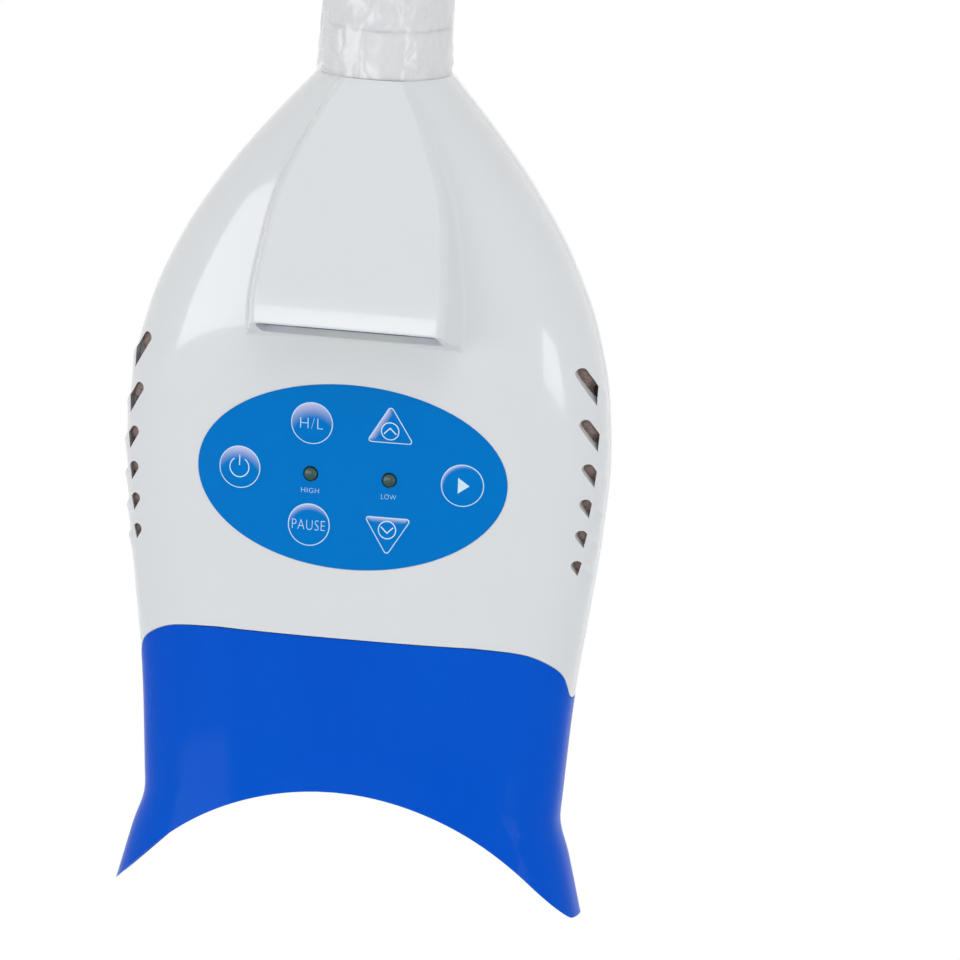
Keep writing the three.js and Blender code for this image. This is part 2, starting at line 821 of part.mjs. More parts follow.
// Half lengths of the light engine across the housing, from the plate in
const plateHalfLength = bodyHalfWidth * widthAt(plateTop / headLength) - wall - plateSideRoom;
const plateScrewReach = plateHalfLength - plateScrewInset;
const plateOpeningHalfLength = plateHalfLength - plateOpeningInset;
const reflectorHalfLength = plateHalfLength - reflectorInset;
const reflectorTopHalfLength = reflectorHalfLength - reflectorTopWall;
const reflectorMouthHalfLength = reflectorHalfLength - reflectorMouthWall;
const lensHalfLength = reflectorHalfLength - lensEndRoom;
const engineScrewReach = reflectorHalfLength - engineScrewInset;
const finHalfLength = engineScrewReach - finEndRoom;
const sinkHalfLength = engineScrewReach + sinkEndRoom;
const ledBoardHalfLength = engineScrewReach + ledBoardEndRoom;
const ledHeaderReach = ledBoardHalfLength - ledHeaderInset;
const emitterPitch = (2 * (plateOpeningHalfLength - emitterEndRoom)) / (emitterColumns - 1);

const fanScrewPlaces = [-1, 1].map((side) => [
  side * fanScrewReach, side * fanScrewReach, gap - fanTop,
]);
const engineScrewPlaces = [-1, 1].map((side) => [side * engineScrewReach, 0, gap - sinkBaseTop]);
const plateScrewPlaces = [-1, 1].flatMap((side) => [-1, 1].map((row) => [
  side * plateScrewReach, row * plateScrewRow, gap - plateTop,
]));

// Front housing

function displaySeatCuts() {
  const floor = bezelRecess + bezelThickness + gap;
  const pocketLength = bezelLength / 2 + gap;
  const pocketHeight = bezelHeight / 2 + gap;
  const pocket = block([-pocketLength, pocketLength], [-pocketHeight, pocketHeight],
    [-overrun, floor]);
  const half = displayOpeningLength / 2;
  const opening = block([-half, half], [-displayOpeningHeight / 2, displayOpeningHeight / 2],
    [0, hoodEndWall + gap]);
  return fromEndFace(join(pocket, opening));
}

const moduleTop = hoodEndWall + gap;
const moduleBottom = moduleTop + moduleThickness;
const displayBoardTop = moduleBottom + gap;
const displayBoardBottom = displayBoardTop + boardThickness;

function displayPosts() {
  return fromEndFace(bothSides((side) => {
    const x = side * displayPostReach;
    const post = rodAlongZ(displayPostRadius, x, moduleShift, hoodEndWall - gap, moduleBottom, 10);
    const pinTop = displayBoardBottom + displayPinRise;
    return join(post, rodAlongZ(displayPinRadius, x, moduleShift, moduleBottom - gap, pinTop, 8));
  }));
}

function frontHousing() {
  const hooded = cut(join(bodyOuter, hoodFilled), bodyInner, hoodHollow);
  const housingBosses = join(...housingScrewPlaces.map(([x, , z]) => rodAlongY(
    housingBossRadius, x, z, -span, -gap / 2, bossSides)));
  const boardBosses = join(...boardScrewPlaces.map(([x, , z]) => rodAlongY(
    bossRadius, x, z, -span, -boardFront - gap, bossSides)));
  const bosses = meet(join(housingBosses, boardBosses), withinWall);
  const whole = join(meet(hooded, housingSide, frontSide), bosses, displayPosts());
  const wells = keys.map((key) => cut(keyPrism(key, gap), bodyLoft(wellSink)));
  const stemHoles = keys.map(({ x, z }) => rodAlongY(stemHole, x, z, -span, 0, 12));
  const panelPocket = cut(alongY(panelOutline(gap), -span, 0, panelSegments), bodyLoft(panelSink + gap));
  const slots = [-1, 1].flatMap((side) => slotPlaceShares.map((place) => slotForm(side, place)));
  const screwHoles = [
    ...housingScrewPlaces.map((place) => holeFromRear(housingScrew, place)),
    ...boardScrewPlaces.map((place) => holeFromRear(boardScrew, place)),
  ];
  const neckHole = rodAlongZ(tubeRadius + gap, 0, 0, -capThickness - gap, overrun, tubeSides);
  return cut(whole, displaySeatCuts(), panelPocket, ...wells, ...stemHoles, lampHoles(), ...slots,
    ...screwHoles, neckHole);
}

// Rear housing

function rearHousing() {
  const bosses = meet(
    join(...housingScrewPlaces.map(([x, , z]) => rodAlongY(housingBossRadius, x, z, gap / 2, span,
      bossSides))),
    withinWall,
  );
  const whole = join(meet(shell, housingSide, rearSide), bosses);
  const half = grilleLength / 2;
  const slots = [];
  for (let i = 0; i < grilleCount; i += 1) {
    const top = -grilleTop - i * grillePitch;
    slots.push(block([-half, half], [wall, span], [top - grilleSlot, top]));
  }
  const screwHoles = [
    ...housingScrewPlaces.map((place) => holeFromRear(housingScrew, place)),
    ...shieldScrewPlaces.map((place) => holeFromRear(shieldScrew, place)),
  ];
  const neckHole = rodAlongZ(tubeRadius + gap, 0, 0, -capThickness - gap, overrun, tubeSides);
  return cut(whole, ...slots, ...screwHoles, neckHole);
}

// Face shield with its lip inside the housing, its screw bosses and the pads for the plate

function faceShield() {
  const bandInner = bodyLoft(wall + gap + lipThickness, capThickness, headLength + overrun);
  const hollow = join(bandInner, cut(bodyInner, aboveParting(-lipRoot)));
  const visible = cut(bodyOuter, aboveParting(-gap / 2), hollow);
  const band = cut(bodyLoft(wall + gap), bandInner, aboveParting(lipHeight));
  const lip = meet(band, aboveParting(-lipRoot / 2));
  const screwBosses = meet(
    join(...shieldScrewPlaces.map(([x, , z]) => rodAlongY(shieldBossRadius, x, z, shieldBossBack,
      span, bossSides))),
    bodyLoft(wall + 2 * gap),
  );
  const pads = meet(padBlocks(), withinWall);
  const holes = [
    ...shieldScrewPlaces.map((place) => holeFromRear(shieldScrew, place)),
    ...plateScrewPlaces.map((place) => holeFromAbove(plateScrew, place)),
  ];
  return cut(join(visible, lip, screwBosses, pads), mouthForm(), ...holes);
}

// What the mouth takes away: a round arch that runs on straight to the two tips.
function mouthForm() {
  const tip = bodyHalfWidth * widthAt(1) - tipWidth;
  const arcAngle = Math.asin((tip - mouthTipRun) / mouthRadius);
  const arcEnd = -mouthApex - mouthRadius * (1 - Math.cos(arcAngle));
  const slope = (headLength + arcEnd) / mouthTipRun;
  const bottom = -headLength - overrun;
  const wide = tip + overrun / slope;
  const outline = new THREE.Shape();
  outline.moveTo(-wide, bottom);
  for (let i = -mouthSteps; i <= mouthSteps; i += 1) {
    const turn = (i / mouthSteps) * arcAngle;
    outline.lineTo(mouthRadius * Math.sin(turn), -mouthApex - mouthRadius * (1 - Math.cos(turn)));
  }
  outline.lineTo(wide, bottom);
  return alongY(outline, -span, span);
}

function padBlocks() {
  const top = -plateBottom - gap;
  const blocks = [-1, 1].flatMap((side) => [-1, 1].map((row) => {
    const x = side * plateScrewReach;
    const reach = [row * padInner, row * span].sort((a, b) => a - b);
    return block([x - padHalfWidth, x + padHalfWidth], reach, [top - padThickness, top]);
  }));
  return join(...blocks);
}

// Key panel and keys

function membranePanel() {
  const sheet = meet(alongY(panelOutline(0), -span, 0, panelSegments), bodyLoft(-panelRise));
  const openings = keys.map((key) => keyPrism(key, gap));
  return cut(sheet, bodyLoft(panelSink), ...openings, lampHoles());
}

function keyForm(key) {
  const pad = cut(meet(keyPrism(key, 0), bodyLoft(-keyRise)), bodyLoft(keySink));
  const front = -frontReach(key.x, key.z);
  const plungerTip = -boardFront - switchHeight - plungerHeight;
  const stemEnd = plungerTip - keyTravel - stemRest;
  return join(pad, rodAlongY(stemRadius, key.x, key.z, front, stemEnd, 10));
}

function indicatorLamp({ x, z }) {
  const surface = frontReach(x, z);
  const boardEnd = boardFront + gap - surface;
  const flangeTop = -wall - gap;
  const flangeBottom = flangeTop - lampFlangeThickness;
  const domeBase = lampRise - lampRadius;
  const profile = [
    [0, boardEnd], [lampSpacerRadius, boardEnd], [lampSpacerRadius, flangeBottom],
    [lampFlangeRadius, flangeBottom], [lampFlangeRadius, flangeTop], [lampRadius, flangeTop],
  ];
  for (let i = 0; i < 4; i += 1) {
    const turn = (i / 4) * (Math.PI / 2);
    profile.push([lampRadius * Math.cos(turn), domeBase + lampRadius * Math.sin(turn)]);
  }
  profile.push([0, lampRise]);
  return turned(profile, lampSides);
}

// Display pieces, in the end face's frame

function displayBezel() {
  const [half, height] = [bezelLength / 2, bezelHeight / 2];
  const [holeHalf, holeHeight] = [windowLength / 2 + gap, windowHeight / 2 + gap];
  const frame = block([-half, half], [-height, height], [bezelRecess, bezelRecess + bezelThickness]);
  return cut(frame, block([-holeHalf, holeHalf], [-holeHeight, holeHeight], [0, overrun]));
}

function displayWindow() {
  const [half, height] = [windowLength / 2, windowHeight / 2];
  const back = bezelRecess + bezelThickness;
  return block([-half, half], [-height, height], [back - windowThickness, back]);
}

function displayModule() {
  const [half, height] = [moduleLength / 2, moduleHeight / 2];
  return block([-half, half], [moduleShift - height, moduleShift + height],
    [moduleTop, moduleBottom]);
}

function displayBoard() {
  const [half, height] = [displayBoardLength / 2, displayBoardHeight / 2];
  const board = block([-half, half], [moduleShift - height, moduleShift + height],
    [displayBoardTop, displayBoardBottom]);
  const headerHalf = displayHeaderLength / 2;
  const headerWidth = displayHeaderWidth / 2;
  const header = block([-headerHalf, headerHalf], [moduleShift - headerWidth,
    moduleShift + headerWidth], [displayBoardTop, displayBoardBottom + displayHeaderHeight]);
  const pinHoles = bothSides((side) => rodAlongZ(displayPinRadius + gap, side * displayPostReach,
    moduleShift, 0, span, 8));
  return cut(join(board, header), pinHoles);
}

// Control board with its switches in front and its connectors behind

function controlBoard() {
  const [half, height] = [boardLength / 2, boardHeight / 2];
  const board = block([-half, half], [-boardFront, -boardBack],
    [-panelDepth - height, height - panelDepth]);
  const switches = keys.map(({ x, z }) => {
    const size = switchSize / 2;
    const body = block([x - size, x + size], [-boardFront - switchHeight, -boardBack],
      [z - size, z + size]);
    const tip = -boardFront - switchHeight - plungerHeight;
    return join(body, rodAlongY(plungerRadius, x, z, tip, -boardFront, 8));
  });
  const behind = (x, top, width, tall, thick) => block([x - width / 2, x + width / 2],
    [-boardFront, thick - boardBack], [-top - tall, -top]);
  const chip = behind(0, panelDepth - chipSize / 2, chipSize, chipSize, chipHeight);
  const capacitors = bothSides((side) => rodAlongY(capacitorRadius, side * capacitorReach,
    -panelDepth - capacitorDrop, -boardFront, capacitorHeight - boardBack, 10));
  const boardTop = panelDepth - height;
  const lowTop = panelDepth + height - lowHeaderInset - lowHeaderSize;
  const headers = [
    behind(-powerHeaderReach, boardTop + powerHeaderInset, powerHeaderLength, powerHeaderWidth,
      powerHeaderHeight),
    behind(0, boardTop + ribbonHeaderInset, ribbonHeaderLength, ribbonHeaderWidth,
      ribbonHeaderHeight),
    behind(-lowHeaderReach, lowTop, lowHeaderSize, lowHeaderSize, lowHeaderHeight),
    behind(lowHeaderReach, lowTop, lowHeaderSize, lowHeaderSize, lowHeaderHeight),
  ];
  const holes = boardScrewPlaces.map((place) => holeFromRear(boardScrew, place));
  return cut(join(board, ...switches, chip, capacitors, ...headers), ...holes);
}

// Fan

function fanFrame() {
  const half = fanSize / 2;
  const frame = block([-half, half], [-half, half], [-fanBottom, -fanTop]);
  const plateTopLevel = fanPlateThickness - fanBottom;
  const opened = cut(frame, rodAlongZ(fanBore, 0, 0, -span, 0, 32));
  const plate = rodAlongZ(hubRadius, 0, 0, -fanBottom, plateTopLevel, 16);
  const struts = [];
  for (let i = 0; i < fanStrutCount; i += 1) {
    const strut = block([0, fanBore + gap], [-fanStrutWidth / 2, fanStrutWidth / 2],
      [-fanBottom, plateTopLevel]);
    struts.push(strut.rotate([0, 0, (360 * i) / fanStrutCount + 90]));
  }
  const holes = fanScrewPlaces.map((place) => holeFromAbove(fanScrew, place));
  return cut(join(opened, plate, ...struts), ...holes);
}

function fanRotor() {
  const hub = rodAlongZ(hubRadius, 0, 0, -hubHeight / 2, hubHeight / 2, 20);
  const blades = [];
  for (let i = 0; i < bladeCount; i += 1) {
    const blade = block([hubRadius / 2, bladeReach], [-bladeThickness / 2, bladeThickness / 2],
      [-bladeWidth / 2, bladeWidth / 2]);
    blades.push(blade.rotate([bladeAngle, 0, 0]).rotate([0, 0, (360 * i) / bladeCount]));
  }
  return join(hub, ...blades);
}

// Light engine

function heatSink() {
  const base = block([-sinkHalfLength, sinkHalfLength], [-sinkHalfDepth, sinkHalfDepth],
    [-sinkBottom, -sinkBaseTop]);
  const fins = [];
  for (let i = 0; i < finCount; i += 1) {
    const y = (i - (finCount - 1) / 2) * finPitch;
    fins.push(block([-finHalfLength, finHalfLength], [y - finThickness / 2, y + finThickness / 2],
      [-sinkBottom, -finTop]));
  }
  const posts = fanScrewPlaces.map(([x, y]) => rodAlongZ(fanPostRadius, x, y, -sinkBottom, -finTop,
    12));
  const holes = [
    ...fanScrewPlaces.map((place) => holeFromAbove(fanScrew, place)),
    ...engineScrewPlaces.map((place) => holeFromAbove(engineScrew, place)),
  ];
  return cut(join(base, ...fins, ...posts), ...holes);
}

function ledBoard() {
  const board = block([-ledBoardHalfLength, ledBoardHalfLength],
    [-ledBoardHalfDepth, ledBoardHalfDepth], [-ledBoardBottom, -ledBoardTop]);
  const header = block([ledHeaderReach - ledHeaderLength / 2, ledHeaderReach + ledHeaderLength / 2],
    [-ledHeaderWidth / 2, ledHeaderWidth / 2], [-ledBoardBottom, ledHeaderHeight - ledBoardTop]);
  const emitters = [-1, 1].flatMap((row) => Array.from({ length: emitterColumns }, (_, i) => {
    const dome = new THREE.CylinderGeometry(emitterRadius, emitterTipRadius,
      emitterHeight + boardThickness, emitterSides);
    dome.rotateX(Math.PI / 2);
    dome.translate((i - (emitterColumns - 1) / 2) * emitterPitch, row * emitterRow,
      -ledBoardTop - (emitterHeight + boardThickness) / 2);
    return solid(dome);
  }));
  const holes = engineScrewPlaces.map((place) => holeFromAbove(engineScrew, place));
  return cut(join(board, header, ...emitters), ...holes);
}

function enginePlate() {
  const sheet = meet(
    block([-plateHalfLength, plateHalfLength], [-plateHalfDepth, plateHalfDepth],
      [-plateBottom, -plateTop]),
    bodyLoft(plateInset),
  );
  const opening = block([-plateOpeningHalfLength, plateOpeningHalfLength],
    [-plateOpeningHalfDepth, plateOpeningHalfDepth], [-span, 0]);
  const holes = [
    ...plateScrewPlaces.map((place) => holeFromAbove(plateScrew, place)),
    ...engineScrewPlaces.map((place) => holeFromAbove(engineScrew, place)),
  ];
  return cut(sheet, opening, ...holes);
}

function reflectorForm() {
  const body = block([-reflectorHalfLength, reflectorHalfLength],
    [-reflectorHalfDepth, reflectorHalfDepth], [-reflectorBottom, -reflectorTop]);
  const cavity = taperedBlock([reflectorTopHalfLength, reflectorTopHalfDepth],
    [reflectorMouthHalfLength, reflectorMouthHalfDepth], -reflectorBottom - gap,
    gap - reflectorTop);
  const rebate = block([-lensHalfLength - gap, lensHalfLength + gap],
    [-lensHalfDepth - gap, lensHalfDepth + gap], [-span, gap - lensTop]);
  const holes = engineScrewPlaces.map((place) => holeFromAbove(engineScrew, place));
  return cut(body, cavity, rebate, ...holes);
}

function lensPlate() {
  return block([-lensHalfLength, lensHalfLength], [-lensHalfDepth, lensHalfDepth],
    [-lensBottom, -lensTop]);
}

// Neck, with heights above the housing's top face

const washerBottom = 2 * gap + collarHeight;
const washerTop = washerBottom + frictionThickness;
const sleeveBottom = washerBottom + gap;
const socketFloor = neckHeight - socketDepth;
const nutTop = -capThickness - springThickness - 2 * gap;

function neckSleeve() {
  const [seat, bore] = [washerTop + gap, tubeRadius + gap];
  const counterbore = frictionRadius + gap;
  const sleeve = turned([
    [neckRadius, sleeveBottom], [neckRadius, neckHeight], [socketRadius, neckHeight],
    [socketRadius, socketFloor], [bore, socketFloor], [bore, seat], [counterbore, seat],
    [counterbore, sleeveBottom], [neckRadius, sleeveBottom],
  ], neckSides);
  const level = neckHeight - clampScrewDepth;
  return cut(sleeve, rodAlongY(clampScrewRadius + gap, 0, level, 0, span, 10));
}

function swivelTube() {
  const flangeBottom = socketFloor + gap;
  const flangeTop = flangeBottom + flangeThickness;
  return turned([
    [tubeRadius, -tubeReach], [tubeRadius, flangeBottom], [flangeRadius, flangeBottom],
    [flangeRadius, flangeTop], [tubeBore, flangeTop], [tubeBore, -tubeReach],
    [tubeRadius, -tubeReach],
  ], tubeSides);
}

function lockNut() {
  const corner = nutAcrossFlats / 2 / Math.cos(Math.PI / 6);
  const body = rodAlongZ(corner, 0, 0, nutTop - nutHeight, nutTop, 6);
  return cut(body, rodAlongZ(tubeRadius + gap, 0, 0, -span, span, tubeSides));
}

function powerCable() {
  const lead = tubeAlong(powerCablePoints, roundOutline(powerCableRadius, cableSides), powerCableSteps);
  const plug = rodAlongZ(powerPlugRadius, 0, 0, powerPlugBottom, powerPlugBottom + powerPlugLength,
    12);
  return join(lead, plug);
}

// The pieces

piece("neck_sleeve", neckPlastic, neckSleeve(), neck);
piece("swivel_tube", steel, swivelTube(), neck);
piece("spring_washer", steel, ring(springRadius, tubeRadius + gap,
  nutTop + gap, nutTop + gap + springThickness, tubeSides), neck);
piece("lock_nut", steel, lockNut(), neck);
const clampScrewEnd = neckRadius - clampScrewInset;
piece("arm_clamp_screw", steel, rodAlongY(clampScrewRadius, 0, neckHeight - clampScrewDepth,
  clampScrewEnd - clampScrewLength, clampScrewEnd, 10), neck);
const filmInner = neckRadius + filmClearance;
piece("neck_film", clearFilm, ring(filmInner + filmThickness, filmInner, filmStart,
  filmStart + filmLength, neckSides), neck);
for (const mesh of neck.children) {
  mesh.position.z = -neckHeight;
}

piece("neck_collar", neckPlastic, ring(neckRadius, tubeRadius + gap, gap, gap + collarHeight,
  neckSides));
piece("friction_washer", greyNylon, ring(frictionRadius, tubeRadius + gap, washerBottom, washerTop,
  neckSides));
piece("front_housing", whitePlastic, frontHousing());
piece("rear_housing", whitePlastic, rearHousing());
piece("face_shield", blueShield, faceShield());
piece("membrane_panel", bluePanel, membranePanel());
piece("vent_filter_left", darkFoam, ventFilter(-1));
piece("vent_filter_right", darkFoam, ventFilter(1));
for (const key of keys) {
  piece(key.name, keyBlue, keyForm(key));
}
for (const place of lampPlaces) {
  const mesh = piece(place.name, lampGreen, indicatorLamp(place));
  mesh.rotation.x = Math.PI / 2;
  mesh.position.set(place.x, -frontReach(place.x, place.z), place.z);
}

const display = new THREE.Group();
display.position.set(...endFaceCentre);
display.rotation.x = endFaceAngle;
head.add(display);
piece("display_bezel", navyPlastic, displayBezel(), display);
piece("display_window", darkWindow, displayWindow(), display);
piece("display_module", moduleBlack, displayModule(), display);
piece("display_board", boardGreen, displayBoard(), display);

piece("control_board", boardGreen, controlBoard());
piece("heat_sink", aluminium, heatSink());
piece("led_board", whiteBoard, ledBoard());
piece("engine_plate", aluminium, enginePlate());
piece("reflector", chrome, reflectorForm());
piece("lens_plate", clearLens, lensPlate());
piece("fan_frame", blackPlastic, fanFrame());
const rotor = piece("fan_rotor", blackPlastic, fanRotor());
rotor.position.z = fanPlateThickness + gap + hubHeight / 2 - fanBottom;

piece("power_cable", blackPlastic, powerCable());
piece("display_ribbon", greyRibbon, tubeAlong(ribbonPoints,
  rectangleOutline(ribbonWidth, ribbonThickness), ribbonSteps));
piece("led_cable", blackPlastic, tubeAlong(ledCablePoints,
  roundOutline(ledCableRadius, cableSides), ledCableSteps));
piece("fan_cable", blackPlastic, tubeAlong(fanCablePoints,
  roundOutline(fanCableRadius, cableSides), fanCableSteps));

housingScrewPlaces.forEach((place, i) => screwFromRear(`housing_screw_${i + 1}`, housingScrew,
  place));
boardScrewPlaces.forEach((place, i) => screwFromRear(`board_screw_${i + 1}`, boardScrew, place));
shieldScrewPlaces.forEach((place, i) => screwFromRear(`shield_screw_${i + 1}`, shieldScrew, place));
fanScrewPlaces.forEach((place, i) => screwFromAbove(`fan_screw_${i + 1}`, fanScrew, place));
engineScrewPlaces.forEach((place, i) => screwFromAbove(`engine_screw_${i + 1}`, engineScrew,
  place));
plateScrewPlaces.forEach((place, i) => screwFromAbove(`plate_screw_${i + 1}`, plateScrew, place));

export default lamp;
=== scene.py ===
# %% [markdown]
# # A teeth whitening lamp
# The lamp is a white housing that hangs from a round neck, with a blue shield that goes round
# the mouth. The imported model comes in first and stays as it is. Everything made below sits on it
# in the same metres, and either dresses a part of it or stands in its place with more detail.

# %% Load the frame
import json
import math
from bisect import bisect_right

import bmesh
import bpy
from mathutils import Matrix, Vector, noise

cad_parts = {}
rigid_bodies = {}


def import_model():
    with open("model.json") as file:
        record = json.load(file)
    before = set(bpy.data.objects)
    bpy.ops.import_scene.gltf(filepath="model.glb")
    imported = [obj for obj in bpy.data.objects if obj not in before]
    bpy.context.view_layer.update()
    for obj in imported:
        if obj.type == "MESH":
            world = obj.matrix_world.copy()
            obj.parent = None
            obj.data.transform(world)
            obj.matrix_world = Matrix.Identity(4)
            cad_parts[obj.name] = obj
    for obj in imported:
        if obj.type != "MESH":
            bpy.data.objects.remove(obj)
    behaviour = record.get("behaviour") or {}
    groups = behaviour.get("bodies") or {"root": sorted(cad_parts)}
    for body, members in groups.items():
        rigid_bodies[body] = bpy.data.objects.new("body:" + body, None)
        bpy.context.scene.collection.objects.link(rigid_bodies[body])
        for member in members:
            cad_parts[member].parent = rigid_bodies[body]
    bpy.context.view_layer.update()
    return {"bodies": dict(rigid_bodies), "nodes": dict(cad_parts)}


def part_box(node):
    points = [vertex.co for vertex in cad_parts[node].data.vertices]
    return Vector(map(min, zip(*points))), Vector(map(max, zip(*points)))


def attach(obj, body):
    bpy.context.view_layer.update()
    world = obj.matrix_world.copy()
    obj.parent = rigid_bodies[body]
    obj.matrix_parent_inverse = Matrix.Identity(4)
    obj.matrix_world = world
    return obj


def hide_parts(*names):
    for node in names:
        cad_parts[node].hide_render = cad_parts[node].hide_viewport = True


for leftover in list(bpy.data.objects):
    bpy.data.objects.remove(leftover)

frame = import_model()

print("bodies:", ", ".join(frame["bodies"]))
print("nodes:", len(frame["nodes"]))

# %% [markdown]
# ## Sizes
# A maker draws this lamp in millimetres from the top face of its housing, with the mouth below
# and the front towards -Y. The same millimetres are used here, and one matrix turns a finished
# piece into metres and hangs it under the neck.

# %% Sizes of the housing
MM = 0.001
NECK_HEIGHT = 62
HEAD_LENGTH = 290
HALF_WIDTH = 85.2
FRONT_DEPTH = 34
REAR_DEPTH = 30
WALL = 2.6
CAP_THICKNESS = 4
SEAM = 0.3
NECK_HOLE = 9.3
WIDTH_SHARES = [
    (0, 0.27), (0.065, 0.464), (0.124, 0.62), (0.21, 0.803), (0.297, 0.925), (0.38, 0.985),
    (0.457, 1), (0.544, 0.98), (0.631, 0.944), (0.747, 0.893), (0.863, 0.864), (0.885, 0.859),
    (0.93, 0.901), (1, 0.961),
]
FRONT_SHARES = [
    (0, 0.676), (0.086, 0.794), (0.172, 0.912), (0.293, 1), (0.379, 0.935), (0.476, 0.853),
    (0.586, 0.824), (0.672, 0.824), (0.793, 0.841), (0.883, 0.897), (1, 1),
]
REAR_SHARES = [
    (0, 0.767), (0.14, 0.867), (0.345, 0.917), (0.517, 0.933), (0.69, 0.9), (0.86, 0.9), (1, 1),
]
SQUARENESS_SHARES = [(0, 2), (0.07, 2.25), (0.138, 2.5), (1, 2.5)]
HEAD_TO_ROW = Matrix.Translation((0, 0, -NECK_HEIGHT * MM)) @ Matrix.Scale(MM, 4)


def curve_through(table):
    """A smooth curve through table rows that adds no hump of its own, level past its ends."""
    places = [row[0] for row in table]
    steps = [(b[1] - a[1]) / (b[0] - a[0]) for a, b in zip(table, table[1:])]
    slopes = []
    for i in range(len(table)):
        before, after = steps[max(i - 1, 0)], steps[min(i, len(steps) - 1)]
        slopes.append(0 if before * after <= 0 else 2 * before * after / (before + after))

    def value(at):
        at = min(max(at, places[0]), places[-1])
        k = min(bisect_right(places, at) - 1, len(steps) - 1)
        run = places[k + 1] - places[k]
        t = (at - places[k]) / run
        rise = table[k + 1][1] - table[k][1]
        lift = run * (slopes[k] * t * (1 - t) ** 2 - slopes[k + 1] * t * t * (1 - t))
        return table[k][1] + rise * t * t * (3 - 2 * t) + lift

    return value


width_at = curve_through(WIDTH_SHARES)
front_at = curve_through(FRONT_SHARES)
rear_at = curve_through(REAR_SHARES)
squareness_at = curve_through(SQUARENESS_SHARES)


def reach(x, z, depth):
    """How far the body's surface stands from its middle plane, for a full depth of depth."""
    squareness = squareness_at(-z / HEAD_LENGTH)
    level = min(abs(x) / (HALF_WIDTH * width_at(-z / HEAD_LENGTH)), 1)
    return depth * (1 - level ** squareness) ** (1 / squareness)


def front_reach(x, z):
    return reach(x, z, FRONT_DEPTH * front_at(-z / HEAD_LENGTH))


def rear_reach(x, z):
    return reach(x, z, REAR_DEPTH * rear_at(-z / HEAD_LENGTH))


print("front reach at the keys:", round(front_reach(0, -138), 2), "mm")

# %% [markdown]
# ## The camera
# The photograph was taken from a little above and to the right, with the lamp tilted by not
# quite three degrees. A long lens keeps the sides parallel, as in the photograph.

# %% Camera
IMAGE_SIZE = 960
MM_PER_PIXEL = 0.345
HOUSING_TOP_PIXEL = (387, 70)
AZIMUTH = math.radians(12)
ELEVATION = math.radians(10.2)
TILT = math.radians(2.743)
LENS = 900
SENSOR = 36


def add_object(name, data):
    thing = bpy.data.objects.new(name, data)
    bpy.context.scene.collection.objects.link(thing)
    return thing


across = Vector((math.cos(AZIMUTH), math.sin(AZIMUTH), 0))
towards_camera = Vector((
    math.sin(AZIMUTH) * math.cos(ELEVATION),
    -math.cos(AZIMUTH) * math.cos(ELEVATION),
    math.sin(ELEVATION),
))
down = across.cross(towards_camera)
image_right = math.cos(TILT) * across - math.sin(TILT) * down
image_down = math.sin(TILT) * across + math.cos(TILT) * down
target = (
    Vector((0, 0, -NECK_HEIGHT * MM))
    + (IMAGE_SIZE / 2 - HOUSING_TOP_PIXEL[0]) * MM_PER_PIXEL * MM * image_right
    + (IMAGE_SIZE / 2 - HOUSING_TOP_PIXEL[1]) * MM_PER_PIXEL * MM * image_down
)
distance = IMAGE_SIZE * MM_PER_PIXEL * MM * LENS / SENSOR
camera = add_object("camera", bpy.data.cameras.new("camera"))
camera.data.lens = LENS
camera.data.sensor_width = SENSOR
pose = Matrix((image_right, -image_down, towards_camera)).transposed().to_4x4()
camera.matrix_world = Matrix.Translation(target + distance * towards_camera) @ pose
bpy.context.scene.camera = camera
print("camera", round(distance, 3), "m from", tuple(round(v, 3) for v in target))

# %% [markdown]
# ## Shop helpers
# A few helpers do the same work for every piece. The first ones move a form, merge its doubles,
# turn its faces outwards, round its corners, draw a flat loop or lay a grid, and extrude it. The
# others mark sharp edges, so that rounded faces shade round and corners stay crisp, turn a bmesh
# into a finished piece in metres that rides on its body, cut one form with others, and gather
# several forms in one.

# %% Helpers for forms
FACING_FRONT = Matrix.Rotation(math.pi / 2, 4, "X")
CORNER_STEPS = 6
TURNED_CORNER_STEPS = 3
DOUBLES = 0.0005


def moved(bm, matrix):
    bmesh.ops.transform(bm, matrix=matrix, verts=bm.verts)
    return bm


def merged(bm, distance=0.0001):
    bmesh.ops.remove_doubles(bm, verts=bm.verts, dist=distance)
    return bm


def outward(bm):
    bmesh.ops.recalc_face_normals(bm, faces=bm.faces)
    return bm


def rounded(bm, geom, offset, segments, affect):
    """Rounds corners or edges in a number of steps."""
    bmesh.ops.bevel(
        bm, geom=geom, offset=offset, offset_type="OFFSET", segments=segments, profile=0.5,
        affect=affect, material=-1)
    return bm


def loop_of(points, filled=True):
    """A closed loop through points, with or without a face in it."""
    bm = bmesh.new()
    bmesh.ops.create_circle(bm, cap_ends=filled, segments=len(points), radius=1)
    for vert, point in zip(bm.verts, points):
        vert.co = Vector(point)
    return bm


def disc(radius, segments):
    bm = bmesh.new()
    bmesh.ops.create_circle(bm, cap_ends=True, segments=segments, radius=radius)
    return bm


def laid_grid(columns, rows, place):
    """A grid of faces, each point placed by how far across and up it is, from -1 to 1."""
    bm = bmesh.new()
    bmesh.ops.create_grid(bm, x_segments=columns, y_segments=rows, size=1)
    for vert in bm.verts:
        vert.co = Vector(place(vert.co.x, vert.co.y))
    return bm


def extruded(bm):
    """The new points, still in their old place, once every face is extruded."""
    grown = bmesh.ops.extrude_face_region(bm, geom=list(bm.faces))
    return [item for item in grown["geom"] if isinstance(item, bmesh.types.BMVert)]


# %% Helpers for pieces
SMOOTH_ANGLE = math.radians(32)


def mesh_from(form, name):
    """A mesh made from a bmesh, which is used up."""
    mesh = bpy.data.meshes.new(name)
    form.to_mesh(mesh)
    form.free()
    return mesh


